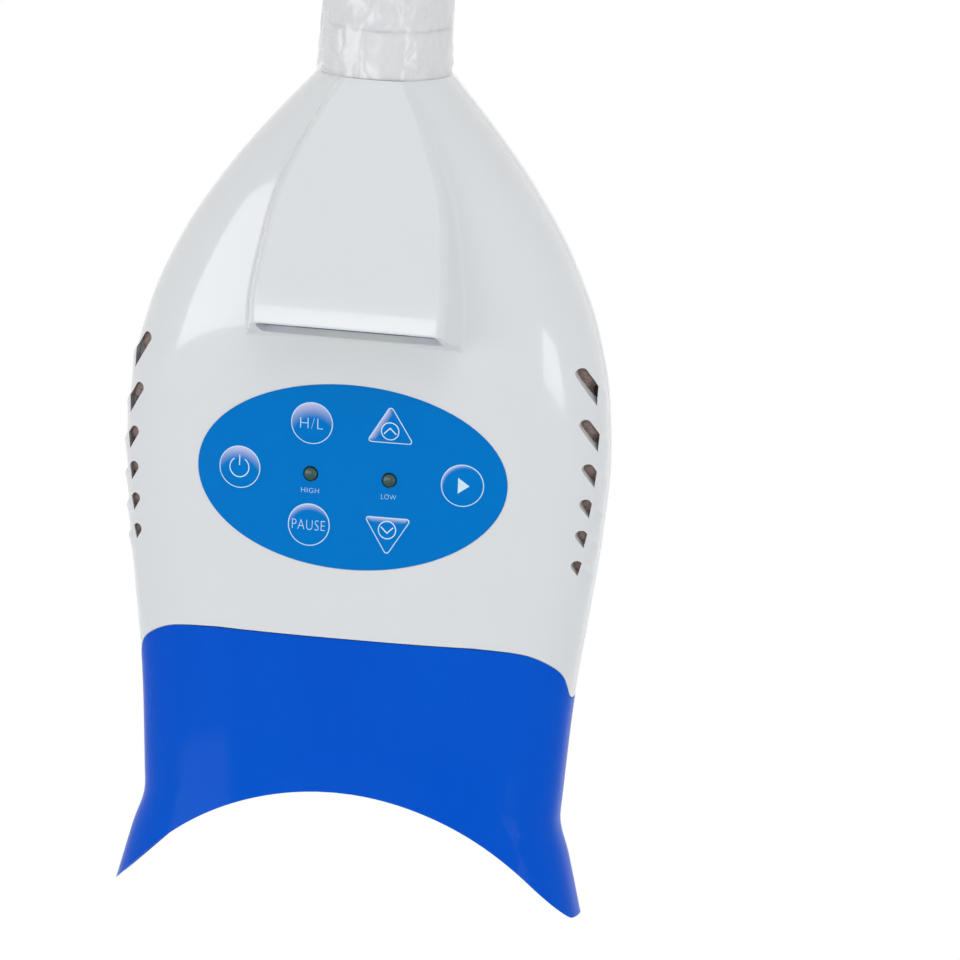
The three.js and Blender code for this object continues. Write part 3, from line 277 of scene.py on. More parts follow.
def shade(bm, angle):
    """Rounded faces shade round, and edges that turn by more than the angle stay crisp."""
    for face in bm.faces:
        face.smooth = True
    for edge in bm.edges:
        edge.smooth = len(edge.link_faces) == 2 and edge.calc_face_angle() < angle


def make_piece(name, bm, body, stands_for, angle=SMOOTH_ANGLE):
    """A finished piece from a bmesh in millimetres."""
    bm.transform(HEAD_TO_ROW)
    shade(bm, angle)
    piece = add_object(name, mesh_from(bm, name))
    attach(piece, body)
    if stands_for:
        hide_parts(*stands_for)
    print(f"{name}: {len(piece.data.polygons)} faces on {body}")
    return piece


def carve(bm, *cutters):
    """The body of a bmesh with the cutters' room taken out of it."""
    objects = [add_object("carving", mesh_from(form, "carving")) for form in (bm, *cutters)]
    whole = objects[0]
    for cutter in objects[1:]:
        cutting = whole.modifiers.new("cut", "BOOLEAN")
        cutting.operation = "DIFFERENCE"
        cutting.solver = "EXACT"
        cutting.object = cutter
    bpy.context.view_layer.update()
    carved = whole.evaluated_get(bpy.context.evaluated_depsgraph_get())
    result = bmesh.new()
    result.from_mesh(carved.data)
    for thing in objects:
        mesh = thing.data
        bpy.data.objects.remove(thing)
        bpy.data.meshes.remove(mesh)
    return result


def gather(*forms):
    """One bmesh that holds several."""
    whole = bmesh.new()
    for form in forms:
        mesh = mesh_from(form, "gathering")
        whole.from_mesh(mesh)
        bpy.data.meshes.remove(mesh)
    return whole


# %% [markdown]
# ## The skins of the housing
# The two housing shells were moulded from one smooth form. The skin of each is a grid that is
# laid over the body: its columns stand side by side from one seam to the other, and each runs
# from the neck down to the line where the blue shield begins. The hood over the display is part
# of the front shell, so the columns gather along its edges, where the surface turns.

# %% Parting line
PARTING_DEPTH = 195.2
PARTING_DROP = 18.5
PARTING_REACH = 25
PARTING_SHARES = [
    (0, 1), (0.1, 0.99), (0.18, 0.95), (0.43, 0.51), (0.61, 0.29), (0.83, 0.07), (1, 0),
]
parting_drop_at = curve_through(PARTING_SHARES)


def parting_level(y):
    return -PARTING_DEPTH - PARTING_DROP * parting_drop_at(abs(y) / PARTING_REACH)


print("parting line:", parting_level(30), "in front and", parting_level(0), "at the side")

# %% Hood
HOOD_LENGTH = 89.1
HOOD_HALF_WIDTH = 38.2
HOOD_TOP_REACH = 23.3
HOOD_LIP_REACH = 49
HOOD_LIP_DEPTH = 83.3
HOOD_BASE_REACH = 33.8
HOOD_DRAFT = 0.3
HOOD_EDGE = 4.5
HOOD_ROOT = 2.8
LIP_EDGE = 1.4
HOOD_END_WALL = 5.6
LIP_ROUND_RUN = 14
LIP_ROUND_DROP = 1
HOOD_SHARES = [
    (0, 0.306), (0.096, 0.453), (0.277, 0.662), (0.442, 0.822), (0.741, 0.961), (0.885, 1),
    (1.2, 1),
]
hood_width_at = curve_through(HOOD_SHARES)
hood_rise = (HOOD_LIP_REACH - HOOD_TOP_REACH) / HOOD_LIP_DEPTH
hood_fall = (HOOD_LIP_REACH - HOOD_BASE_REACH) / (HOOD_LENGTH - HOOD_LIP_DEPTH)


def soft_max(a, b, blend):
    """The larger of two heights, with a rounded valley of that blend between them."""
    h = max(blend - abs(a - b), 0) / blend
    return max(a, b) + h * h * blend / 4


def soft_min(a, b, blend):
    return -soft_max(-a, -b, blend)


def hood_half_width(z):
    return HOOD_HALF_WIDTH * hood_width_at(-z / HOOD_LENGTH)


def hood_top(z, inset=0):
    """Reach of the hood's top plane or, past its lip, of its end face."""
    rounded = max(LIP_ROUND_RUN - HOOD_LIP_DEPTH - z, 0) / LIP_ROUND_RUN
    plane = HOOD_TOP_REACH - hood_rise * z - inset - LIP_ROUND_DROP * rounded ** 2
    end_wall = HOOD_END_WALL * math.hypot(1, 1 / hood_fall) if inset else 0
    end = HOOD_LIP_REACH + hood_fall * (z + HOOD_LIP_DEPTH - end_wall)
    return plane, end


def hood_reach(x, z, inset=0):
    plane, end = hood_top(z, inset)
    half = hood_half_width(z) - inset
    side = front_reach(half, z) + (half - abs(x)) / HOOD_DRAFT
    return soft_min(soft_min(plane, side, HOOD_EDGE), end, LIP_EDGE)


print("hood at its lip:", round(hood_reach(0, -HOOD_LIP_DEPTH), 2), "mm from the middle plane")

# %% Places of the vents
SLOT_ANGLE = math.radians(31)
SLOT_SHARES = [
    (0.901, 0.336), (0.926, 0.398), (0.942, 0.452), (0.938, 0.495), (0.926, 0.533), (0.914, 0.57),
]
SLOT_WIDTH = 3.5
VENT_RIM = 1.9
VENT_DROP = 11
VENT_LEAN = 0.055
BROW_RISE = 1.5
BROW_STEP = 2.2
BROW_RUN = 4.5
BROW_WRAP = 14
BROW_START = 1.5


def vent_limit(height_share):
    """How far out a vent reaches, just short of the seam at the side."""
    return HALF_WIDTH * width_at(height_share + VENT_DROP / HEAD_LENGTH) - VENT_RIM


def upper_edge(width_share, height_share, x):
    """Level of a vent's upper edge, or of the line that carries it on."""
    run = (x - width_share * HALF_WIDTH) / math.tan(SLOT_ANGLE)
    return -height_share * HEAD_LENGTH - run + SLOT_WIDTH / 2 / math.sin(SLOT_ANGLE)


def brow_lift(x, y, z):
    """Height of the low brow that starts with a crease at the outer end of each vent."""
    lift = 0
    for width_share, height_share in SLOT_SHARES:
        below = upper_edge(width_share, height_share, x) + BROW_STEP / 2 - z
        beyond = (x - vent_limit(height_share)) / BROW_START + 1
        if below > 0 and beyond > 0:
            lift += min(below / BROW_STEP, 1) * math.exp(-below / BROW_RUN) * min(beyond, 1)
    return BROW_RISE * lift * math.sin(math.pi * min(y / BROW_WRAP, 1))


print("vents on each side:", len(SLOT_SHARES))

# %% Grid of a skin
TOP_COLUMNS = 7
EDGE_COLUMNS = 8
SIDE_COLUMNS = 5
ROOT_COLUMNS = 10
BODY_COLUMNS = 26
HALF_COLUMNS = TOP_COLUMNS + EDGE_COLUMNS + SIDE_COLUMNS + ROOT_COLUMNS + BODY_COLUMNS
EDGE_REACH = (2.4, 1.4)
ROOT_ROOM = (1.2, 1.3)
LEAST_SIDE = 0.2
CAP_RINGS = [0.72, 0.93, 0.985]
CAP_EDGE = 0.35
FLAT_MOST = 0.9
TURN_START_MOST = 0.98
SEAM_TRIES = 12
HOOD_ROWS = 72
LIP_ROWS = 30
LIP_TOP = -79.5
LIP_BOTTOM = -93
LOWER_ROWS = 150


def steps(start, end, count):
    return [start + (end - start) * (i + 1) / count for i in range(count)]


def half_columns(z):
    """Places of the columns from the middle to where the body's side is left to a turn angle."""
    half = hood_half_width(z)
    plane, end = hood_top(z)
    edge = half - HOOD_DRAFT * max(min(plane, end) - front_reach(half, z), 0)
    edge = min(edge, half - ROOT_ROOM[0] - EDGE_REACH[1])
    stops = [edge - EDGE_REACH[0], edge + EDGE_REACH[1], half - ROOT_ROOM[0], half + ROOT_ROOM[1]]
    stops[1] = min(stops[1], stops[2] - LEAST_SIDE)
    places, start = [0], 0
    for stop, count in zip(stops, (TOP_COLUMNS, EDGE_COLUMNS, SIDE_COLUMNS, ROOT_COLUMNS)):
        places += steps(start, stop, count)
        start = stop
    return places


def skin_point(column, z, inset, depth, hooded):
    """(x, y) of a column at a level; y counts away from the middle plane."""
    share = -z / HEAD_LENGTH
    half_width = HALF_WIDTH * width_at(share) - inset
    squareness = squareness_at(share)
    power = 2 / squareness
    full = depth(share) - inset
    inner = half_columns(z)
    side = -1 if column < 0 else 1
    number = abs(column)
    last_turn = math.asin(min(inner[-1] / half_width, TURN_START_MOST) ** (1 / power))
    if number < len(inner):
        x = inner[number] * min(1, FLAT_MOST * half_width / inner[-1])
        level = full * (1 - (x / half_width) ** squareness) ** (1 / squareness)
    else:
        turn = steps(last_turn, math.pi / 2, BODY_COLUMNS)[number - len(inner)]
        x = half_width * math.sin(turn) ** power
        level = full * max(math.cos(turn), 0) ** power
    if hooded:
        level = soft_max(level, hood_reach(x, z, inset), HOOD_ROOT) if z > LIP_BOTTOM else level
    if hooded and not inset and number > len(inner):
        out = Vector((
            (x / half_width) ** (squareness - 1) / half_width,
            (level / full) ** (squareness - 1) / full)).normalized() * brow_lift(x, level, z)
        x, level = x + out.x, level + out.y
    return side * x, max(level, SEAM / 2)


def front_full(share):
    return FRONT_DEPTH * front_at(share)


def rear_full(share):
    return REAR_DEPTH * rear_at(share)


def end_level(column, inset, depth):
    """The level at which a column meets the parting line."""
    z = -PARTING_DEPTH
    for _ in range(SEAM_TRIES):
        z = parting_level(skin_point(column, z, inset, depth, False)[1]) + SEAM / 2
    return z


def skin_rows(column, inset, depth, hooded, top):
    """The points of one column from the neck hole to the parting line."""
    x, y = skin_point(column, top, inset, depth, hooded)
    hole = Vector((x, y)).normalized() * NECK_HOLE
    rim = [hole.lerp(Vector((x, y)), share) for share in (0, *CAP_RINGS)]
    points = [(place.x, place.y, top) for place in rim]
    points.append((x, y, top - CAP_EDGE))
    levels = steps(top - CAP_EDGE, LIP_TOP, HOOD_ROWS) + steps(LIP_TOP, LIP_BOTTOM, LIP_ROWS)
    levels += steps(LIP_BOTTOM, end_level(column, inset, depth), LOWER_ROWS)
    for z in levels:
        points.append((*skin_point(column, z, inset, depth, hooded), z))
    return points


def lay_skin(depth, hooded, inset=0, top=0):
    """A grid laid over the body, seen from outside, for the side that depth belongs to."""
    columns = {}
    for column in range(-HALF_COLUMNS, HALF_COLUMNS + 1):
        columns[column] = skin_rows(column, inset, depth, hooded, top)
    last = len(columns[0]) - 1

    def place(across, up):
        return columns[round(across * HALF_COLUMNS)][round((1 - up) / 2 * last)]

    return laid_grid(2 * HALF_COLUMNS, last, place)


def close_shell(outer, inner, front):
    """A closed shell from an outer and an inner skin with the same grid."""
    whole = gather(outer, inner)
    rims = [edge for edge in whole.edges if len(edge.link_faces) == 1]
    bmesh.ops.bridge_loops(whole, edges=rims)
    if front:
        moved(whole, Matrix.Diagonal((1, -1, 1, 1)))
    return outward(whole)


front_shell = close_shell(
    lay_skin(front_full, True), lay_skin(front_full, True, WALL, -CAP_THICKNESS), True)
rear_shell = close_shell(
    lay_skin(rear_full, False), lay_skin(rear_full, False, WALL, -CAP_THICKNESS), False)
print("shells:", len(front_shell.faces), "and", len(rear_shell.faces), "faces")

# %% [markdown]
# ## What is cut out of the shells
# On the real mould, pins and sliders leave these openings: twelve vents that run out over the
# side, the shallow seat of the key panel with a hole for each key's stem, the pocket of the
# display in the end face of the hood, the grille at the back and the screws' seats. Most cutters
# are outlines that are drawn in the plane that faces the front and pushed through along Y. The
# panel's seat follows the curved front, and the display's pocket stands square to the end face.

# %% Prisms
THROUGH = 130


def push_through(bm, front, back):
    """Turns a flat outline of one face, drawn in (x, z), into a prism from front to back."""
    for vert in bm.verts:
        vert.co.y = front
    for vert in extruded(bm):
        vert.co.y = back
    return outward(bm)


def round_outline(x, z, radius, segments):
    """A disc in the plane of the front."""
    return moved(disc(radius, segments), Matrix.Translation((x, 0, z)) @ FACING_FRONT)


def round_holes(places, radius, segments):
    return gather(*(
        push_through(round_outline(x, z, radius, segments), -THROUGH, 0) for x, z in places))


def stadium_outline(width, length, segments):
    """A slot with round ends, from its upper centre down."""
    bm = round_outline(0, 0, width / 2, segments)
    for vert in bm.verts:
        if vert.co.z < -0.001:
            vert.co.z -= length
    return bm


print("cutters reach", THROUGH, "mm")

# %% Vents
SLOT_LENGTH = 21
SLOT_BACK = 3


def vent(side, number, width_share, height_share):
    slot = stadium_outline(SLOT_WIDTH, SLOT_LENGTH, 24)
    limit = vent_limit(height_share)
    corner = (side * limit, 0, upper_edge(width_share, height_share, limit))
    place = Matrix.Translation((side * width_share * HALF_WIDTH, 0, -height_share * HEAD_LENGTH))
    moved(slot, place @ Matrix.Rotation(-side * SLOT_ANGLE, 4, "Y"))
    bmesh.ops.bisect_plane(
        slot, geom=[*slot.verts, *slot.edges, *slot.faces], dist=0.0001, clear_outer=True,
        plane_co=corner, plane_no=(side, 0, -VENT_LEAN * number))
    return push_through(slot, -THROUGH, -SLOT_BACK)


vents = gather(*(
    vent(side, number, *shares) for number, shares in enumerate(SLOT_SHARES) for side in (-1, 1)))
print("vents:", 2 * len(SLOT_SHARES))

# %% Key panel places
PANEL_LEVEL = -138
PANEL_HALF_WIDTH = 54.5
PANEL_HALF_HEIGHT = 32.4
PANEL_RISE = 0.2
PANEL_SINK = 0.6
SEAT_DEPTH = 1.5
KEY_RADIUS = 7.4
SIDE_KEY_REACH = 39.4
KEY_COLUMN = 13.9
KEY_ROW = 18
ARROW_BASE = 13.2
ARROW_WIDTH = 16.8
ARROW_HEIGHT = 13.6
ARROW_CORNER = 1.9
ARROW_MIDDLE = 17.5
ARROW_SLANT = math.hypot(ARROW_WIDTH / 2, ARROW_HEIGHT)
ARROW_INNER = ARROW_WIDTH * ARROW_HEIGHT / (ARROW_WIDTH + 2 * ARROW_SLANT)
STEM_RADIUS = 2
STEM_HOLE = 2.6
LED_RADIUS = 2.4
ROUND_KEYS = {
    "key_power": (-SIDE_KEY_REACH, PANEL_LEVEL),
    "key_high_low": (-KEY_COLUMN, PANEL_LEVEL + KEY_ROW),
    "key_pause": (-KEY_COLUMN, PANEL_LEVEL - KEY_ROW),
    "key_start": (SIDE_KEY_REACH, PANEL_LEVEL),
}
ARROW_KEYS = {
    "key_up": (KEY_COLUMN, PANEL_LEVEL + ARROW_MIDDLE, 1),
    "key_down": (KEY_COLUMN, PANEL_LEVEL - ARROW_MIDDLE, -1),
}
LEDS = {
    "indicator_led_high": (-KEY_COLUMN, PANEL_LEVEL),
    "indicator_led_low": (KEY_COLUMN, PANEL_LEVEL),
}
print("keys:", ", ".join([*ROUND_KEYS, *ARROW_KEYS]))


# %% Arrow outline
def arrow_outline(tip, shrink=0.0):
    """A triangle with rounded corners in (x, z); shrink moves its sides in."""
    scale = (ARROW_INNER - shrink) / ARROW_INNER
    middle = PANEL_LEVEL + tip * (ARROW_BASE + ARROW_INNER)
    corners = [
        (-ARROW_WIDTH / 2, -ARROW_INNER), (ARROW_WIDTH / 2, -ARROW_INNER),
        (0, ARROW_HEIGHT - ARROW_INNER),
    ]
    bm = loop_of([(KEY_COLUMN + x * scale, 0, middle + tip * z * scale) for x, z in corners])
    return outward(rounded(bm, list(bm.verts), ARROW_CORNER * scale, CORNER_STEPS, "VERTICES"))


print("arrow outline:", len(arrow_outline(1).verts), "points")

# %% Seat of the panel
SHEET_RINGS = 24
SHEET_SEGMENTS = 96
SEAT_HEIGHT = 12


def bend_to_front(bm, rise):
    """Lays a form over the front: its own y is kept, and counts from the surface plus rise."""
    for vert in bm.verts:
        vert.co.y -= front_reach(vert.co.x, vert.co.z) + rise
    return bm


def thicken_back(bm, depth):
    """Gives a sheet that lies over the front its depth, towards +Y."""
    for face in bm.faces:
        if face.normal.y > 0:
            face.normal_flip()
    for vert in extruded(bm):
        vert.co.y -= depth
    for vert in bm.verts:
        vert.co.y += depth
    return outward(bm)


def panel_form(sink, height, room):
    """The panel's oval, wider by room, from sink under the front's surface to height over it."""
    def place(across, up):
        turn, out = math.pi * across, (up + 1) / 2
        return (out * (PANEL_HALF_WIDTH + room) * math.cos(turn), 0,
                PANEL_LEVEL + out * (PANEL_HALF_HEIGHT + room) * math.sin(turn))

    oval = outward(merged(laid_grid(SHEET_SEGMENTS, SHEET_RINGS, place)))
    return thicken_back(bend_to_front(oval, height), sink + height)


panel_seat = panel_form(SEAT_DEPTH, SEAT_HEIGHT, SEAM)
stem_places = [*ROUND_KEYS.values(), *(place[:2] for place in ARROW_KEYS.values())]
stem_holes = gather(
    round_holes(stem_places, STEM_HOLE, 24), round_holes(LEDS.values(), LED_RADIUS + SEAM, 24))
print("seat:", len(panel_seat.faces), "faces")

# %% Pocket of the display
BEZEL_THICKNESS = 1
BEZEL_RECESS = 2.3
POCKET_HALF_LENGTH = 32.2
POCKET_HALF_HEIGHT = 6.75
POCKET_CORNER = 2
POCKET_MOUTH = -6
WINDOW_LENGTH = 39.4
WINDOW_HEIGHT = 10.6
OPENING_LENGTH = 36.5
OPENING_HEIGHT = 9.4
END_ANGLE = -math.atan2(HOOD_LENGTH - HOOD_LIP_DEPTH, HOOD_LIP_REACH - HOOD_BASE_REACH)
END_CENTRE = (0, -(HOOD_LIP_REACH + HOOD_BASE_REACH) / 2, -(HOOD_LIP_DEPTH + HOOD_LENGTH) / 2)
FROM_END_FACE = Matrix.Translation(END_CENTRE) @ Matrix.Rotation(END_ANGLE, 4, "X")


def block(half_length, half_height, bottom, top, corner=0.0):
    """A block in the frame of the hood's end face, with its upright edges rounded."""
    bm = bmesh.new()
    bmesh.ops.create_cube(bm, size=1)
    size = Matrix.Diagonal((2 * half_length, 2 * half_height, top - bottom, 1))
    moved(bm, Matrix.Translation((0, 0, (bottom + top) / 2)) @ size)
    if corner:
        upright = [e for e in bm.edges if abs(e.verts[0].co.z - e.verts[1].co.z) > 0.01]
        rounded(bm, upright, corner, CORNER_STEPS, "EDGES")
    return bm


pocket_floor = BEZEL_RECESS + BEZEL_THICKNESS + SEAM
display_pocket = moved(block(
    POCKET_HALF_LENGTH, POCKET_HALF_HEIGHT, POCKET_MOUTH, pocket_floor, POCKET_CORNER),
    FROM_END_FACE)
display_opening = moved(block(
    OPENING_LENGTH / 2, OPENING_HEIGHT / 2, pocket_floor - 1, HOOD_END_WALL + 4, 1),
    FROM_END_FACE)
print("end face at", [round(v, 1) for v in END_CENTRE])

# %% Screws and the grille at the back
SCREW_SEAT = 8
HOUSING_SCREW_SHARES = [(0.516, 0.172), (0.704, 0.397), (0.704, 0.607)]
SCREW_HEAD = 2.8
SHIELD_SCREW_REACH = 36
SHIELD_SCREW_LEVEL = -188.5
SHIELD_SCREW_SINK = 1.8
GRILLE_COUNT = 8
GRILLE_LENGTH = 44
GRILLE_SLOT = 2.4
GRILLE_PITCH = 5.2
GRILLE_TOP = -132
GRILLE_START = 5

housing_screws = [
    (side * share * HALF_WIDTH, SCREW_SEAT, -level * HEAD_LENGTH)
    for share, level in HOUSING_SCREW_SHARES for side in (-1, 1)
]
shield_seat = rear_reach(SHIELD_SCREW_REACH, SHIELD_SCREW_LEVEL) - SHIELD_SCREW_SINK
shield_screws = [(side * SHIELD_SCREW_REACH, shield_seat, SHIELD_SCREW_LEVEL) for side in (-1, 1)]
screw_seats = gather(*(
    push_through(round_outline(x, z, SCREW_HEAD + SEAM, 32), y, THROUGH)
    for x, y, z in (*housing_screws, *shield_screws)
))


def grille_slot(number):
    slot = push_through(
        stadium_outline(GRILLE_SLOT, GRILLE_LENGTH - GRILLE_SLOT, 16), GRILLE_START, THROUGH)
    level = GRILLE_TOP - number * GRILLE_PITCH - GRILLE_SLOT / 2
    place = Matrix.Translation((GRILLE_LENGTH / 2 - GRILLE_SLOT / 2, 0, level))
    return moved(slot, place @ Matrix.Rotation(math.pi / 2, 4, "Y"))


grille = gather(*(grille_slot(i) for i in range(GRILLE_COUNT)))
print("screws seat at", round(shield_seat, 1), "and", SCREW_SEAT, "mm behind the middle")

# %% Cut the shells
front_shell = carve(
    front_shell, vents, panel_seat, stem_holes, display_pocket, display_opening)
rear_shell = carve(rear_shell, grille, screw_seats)
front_housing = make_piece(
    "front_housing_fine", front_shell, "head", ["front_housing"])
rear_housing = make_piece(
    "rear_housing_fine", rear_shell, "head", ["rear_housing"])

# %% [markdown]
# ## The face shield
# The shield carries the housing's form on down to an arched mouth with two sharp points. It is
# one closed ring: each column starts at the parting line and ends on the arch, outside and
# inside, so the arch is the end of every column and needs no cutting.

# %% Shield
SHIELD_WALL = 2.8
MOUTH_RADIUS = 96
MOUTH_APEX = 248.9
MOUTH_TIP_RUN = 13.1
TIP_WIDTH = 0.8
SHIELD_COLUMNS = 144
SHIELD_ROWS = 30
SHIELD_MIDDLE = -230
SHIELD_TRIES = 40
TRY_SHARE = 0.6
mouth_tip = HALF_WIDTH * width_at(1) - TIP_WIDTH
mouth_turn = math.asin((mouth_tip - MOUTH_TIP_RUN) / MOUTH_RADIUS)
mouth_arc_end = -MOUTH_APEX - MOUTH_RADIUS * (1 - math.cos(mouth_turn))


def mouth_level(x):
    """Height of the arch: round in the middle, then straight to the points."""
    beyond = abs(x) - (mouth_tip - MOUTH_TIP_RUN)
    if beyond <= 0:
        return -MOUTH_APEX - MOUTH_RADIUS + math.sqrt(MOUTH_RADIUS ** 2 - x * x)
    return max(mouth_arc_end - beyond * (HEAD_LENGTH + mouth_arc_end) / MOUTH_TIP_RUN,
               -HEAD_LENGTH)


def ring_point(turn, z, inset):
    share = -z / HEAD_LENGTH
    power = 2 / squareness_at(share)
    sine, cosine = math.sin(turn), -math.cos(turn)
    full = (front_full if cosine < 0 else rear_full)(share) - inset
    x = (HALF_WIDTH * width_at(share) - inset) * math.copysign(abs(sine) ** power, sine)
    return x, full * math.copysign(abs(cosine) ** power, cosine)


def meeting_level(turn, inset, wanted, start):
    """The level at which a column meets a line that is given by its place."""
    z = start
    for _ in range(SHIELD_TRIES):
        z += (wanted(*ring_point(turn, z, inset)) - z) * TRY_SHARE
    return z


def shield_wall(inset):
    columns = []
    for column in range(SHIELD_COLUMNS):
        turn = 2 * math.pi * column / SHIELD_COLUMNS
        top = meeting_level(turn, inset, lambda x, y: parting_level(y), -PARTING_DEPTH)
        bottom = meeting_level(turn, inset, lambda x, y: mouth_level(x), -HEAD_LENGTH)
        columns.append((turn, top - SEAM / 2, bottom))

    def place(across, up):
        turn, top, bottom = columns[round((across + 1) / 2 * SHIELD_COLUMNS) % SHIELD_COLUMNS]
        z = top + (bottom - top) * (1 - up) / 2
        return (*ring_point(turn, z, inset), z)

    return merged(laid_grid(SHIELD_COLUMNS, SHIELD_ROWS, place))


def shield_form():
    whole = gather(shield_wall(0), shield_wall(SHIELD_WALL))
    rims = [edge for edge in whole.edges if len(edge.link_faces) == 1]
    bmesh.ops.bridge_loops(whole, edges=[e for e in rims if e.verts[0].co.z > SHIELD_MIDDLE])
    bmesh.ops.bridge_loops(whole, edges=[e for e in rims if e.verts[0].co.z < SHIELD_MIDDLE])
    return outward(whole)


face_shield = make_piece(
    "face_shield_fine", shield_form(), "head", ["face_shield"])
print("arch from", -MOUTH_APEX, "to", round(mouth_level(mouth_tip), 1), "mm")

# %% [markdown]
# ## The key panel
# The blue panel is one printed film that lies in its seat, with a window for each key and each
# light. An oval of faces is laid over the curved front and given its thickness, and then the
# windows are cut.

# %% Panel film
KEY_PLAY = 0.06
PANEL_SNUG = 0.24

panel_film = panel_form(PANEL_SINK, PANEL_RISE, PANEL_SNUG)
windows = gather(
    round_holes(ROUND_KEYS.values(), KEY_RADIUS + KEY_PLAY, 64),
    *(push_through(arrow_outline(tip, -KEY_PLAY), -THROUGH, 0)
      for x, z, tip in ARROW_KEYS.values()),
    round_holes(LEDS.values(), LED_RADIUS + SEAM, 32))
membrane = make_piece(
    "membrane_film", carve(panel_film, windows), "head", ["membrane_panel"])

# %% [markdown]
# ## Keys
# Each key is a pad of the same film, pressed into a low dome, on a stem that reaches to its
# switch. A thin outline and a sign are printed on it in white. Prints are 0.03 mm thick, lie on
# the pad and ride with it.

# %% Key pads
KEY_RISE = 0.72
KEY_SINK = 0.9
KEY_ROLL = 3
STEM_END = -22.45
PAD_RINGS = 14
PAD_MIDDLE = 0.1
PAD_EDGE_SINK = 0.1
PAINTED_HIGHLIGHT_FADE = 1.6
INK = 0.03
# Painted highlight: the turn in degrees and the depth in millimetres of a pale gradient at the
# upper edge of each key, where light from above and to the left would catch its dome.
PAINTED_HIGHLIGHTS = {
    "key_power": (0, 4.8), "key_high_low": (-8, 5.8), "key_pause": (-12, 2.4),
    "key_start": (-36, 1.6), "key_up": (-1, 2.6), "key_down": (0, 1.9),
}


def edge_distance(name, x, z):
    """How far a place on a key is from the key's edge."""
    if name in ROUND_KEYS:
        centre = ROUND_KEYS[name]
        return KEY_RADIUS - math.hypot(x - centre[0], z - centre[1])
    return min(arrow_sides(name, x, z))


def arrow_sides(name, x, z):
    """How far a place is from the level, the left and the right side of an arrow key."""
    up = ARROW_KEYS[name][2] * (z - PANEL_LEVEL) - ARROW_BASE
    along = (ARROW_HEIGHT - up) * ARROW_WIDTH / 2 / ARROW_SLANT
    out = (x - KEY_COLUMN) * ARROW_HEIGHT / ARROW_SLANT
    return up, along + out, along - out


def gleam(name, x, z):
    """Share of the painted highlight, a pale printed gradient along the upper edge of each key."""
    turn, depth = PAINTED_HIGHLIGHTS[name]
    if name in ARROW_KEYS:
        level_side, left_side, right_side = arrow_sides(name, x, z)
        near, ends = (left_side, min(level_side, right_side)) if turn else (
            level_side, min(left_side, right_side))
        return max(1 - near / depth, 0) * min(max(ends, 0) / PAINTED_HIGHLIGHT_FADE, 1)
    towards = Vector((math.sin(math.radians(turn)), math.cos(math.radians(turn)))) * depth
    place = Vector((x, z)) - Vector(ROUND_KEYS[name])
    return min(max(((place + towards).length - KEY_RADIUS) / depth, 0), 1)


def pad_rise(name, x, z):
    """Height of the pad over the film: a rolled edge and a low dome."""
    inward = max(min(edge_distance(name, x, z) / KEY_ROLL, 1), 0)
    dome = 1 - (1 - inward) ** 2
    return PANEL_RISE - PAD_EDGE_SINK + (KEY_RISE - PANEL_RISE + PAD_EDGE_SINK) * dome


def lay_on_pad(name, bm, lift=0.0):
    for vert in bm.verts:
        x, y, z = vert.co
        vert.co.y = y - front_reach(x, z) - pad_rise(name, x, z) - lift
    return bm


def ringed(outline, centre, rings):
    """Fills an outline's face with rings of faces that shrink evenly towards a centre."""
    face = next(iter(outline.faces))
    centre = Matrix.Translation((-centre[0], 0, -centre[1]))
    shares = [1 - (1 - PAD_MIDDLE) * number / rings for number in range(rings + 1)]
    for before, after in zip(shares, shares[1:]):
        bmesh.ops.inset_region(outline, faces=[face], thickness=0, use_boundary=True)
        bmesh.ops.scale(
            outline, vec=(after / before, 1, after / before), space=centre, verts=face.verts)
    return outline


def key_pad(name):
    if name in ROUND_KEYS:
        x, z = ROUND_KEYS[name]
        outline = ringed(round_outline(x, z, KEY_RADIUS, 64), (x, z), PAD_RINGS)
    else:
        x, z, tip = ARROW_KEYS[name]
        middle = PANEL_LEVEL + tip * (ARROW_BASE + ARROW_INNER)
        outline = ringed(arrow_outline(tip), (x, middle), PAD_RINGS)
    pad = thicken_back(lay_on_pad(name, outline), KEY_RISE + KEY_SINK)
    stem = push_through(round_outline(x, z, STEM_RADIUS, 24), -front_reach(x, z), STEM_END)
    pad = gather(pad, stem)
    # Painted highlight: each point of the pad keeps its share of the pale gradient.
    share = pad.verts.layers.float.new("gleam")
    for vert in pad.verts:
        vert[share] = gleam(name, vert.co.x, vert.co.z)
    return pad


pads = {}
for name in (*ROUND_KEYS, *ARROW_KEYS):
    pads[name] = make_piece(f"{name}_pad", key_pad(name), name, [name])

# %% [markdown]
# The signs are drawn in the plane of the front, where a line is a flat strip with round ends.
# Words start as text objects that become meshes. Every print is laid on its pad and thickened
# by the same rule.

# %% Print helpers
LINE = 0.36
LEAST_MITRE = 0.4
PRINT_FACE = 1.2
WORD_SIZE = 10
WORD_SPACING = 1.1
WORD_WEIGHT = -0.24
LIGHT_WORD_WEIGHT = -0.22


def strip(points, width=LINE, closed=False):
    """A flat line of even width through (x, z) points."""
    count = len(points) if closed else len(points) - 1

    def place(across, up):
        k = round((across + 1) / 2 * count)
        here = Vector(points[k % len(points)])
        before = Vector(points[(k - 1) % len(points)]) if closed or k else here
        after = Vector(points[(k + 1) % len(points)]) if closed or k < count else here
        along = (after - before).normalized()
        turn = (here - before).angle(after - here, 0) if before != here != after else 0
        reach_out = width / 2 / max(math.cos(turn / 2), LEAST_MITRE)
        out = Vector((-along.y, along.x)) * reach_out * up
        return here.x + out.x, 0, here.y + out.y

    return merged(laid_grid(count, 1, place), 0.001)


def arc(x, z, radius, start, end, count=48):
    """Points of an arc between two clock angles in degrees, from the top clockwise."""
    turns = [math.radians(start + (end - start) * i / count) for i in range(count + 1)]
    return [(x + radius * math.sin(turn), z + radius * math.cos(turn)) for turn in turns]


def ring_line(x, z, radius):
    return strip(arc(x, z, radius, 0, 360, 64)[:-1], closed=True)


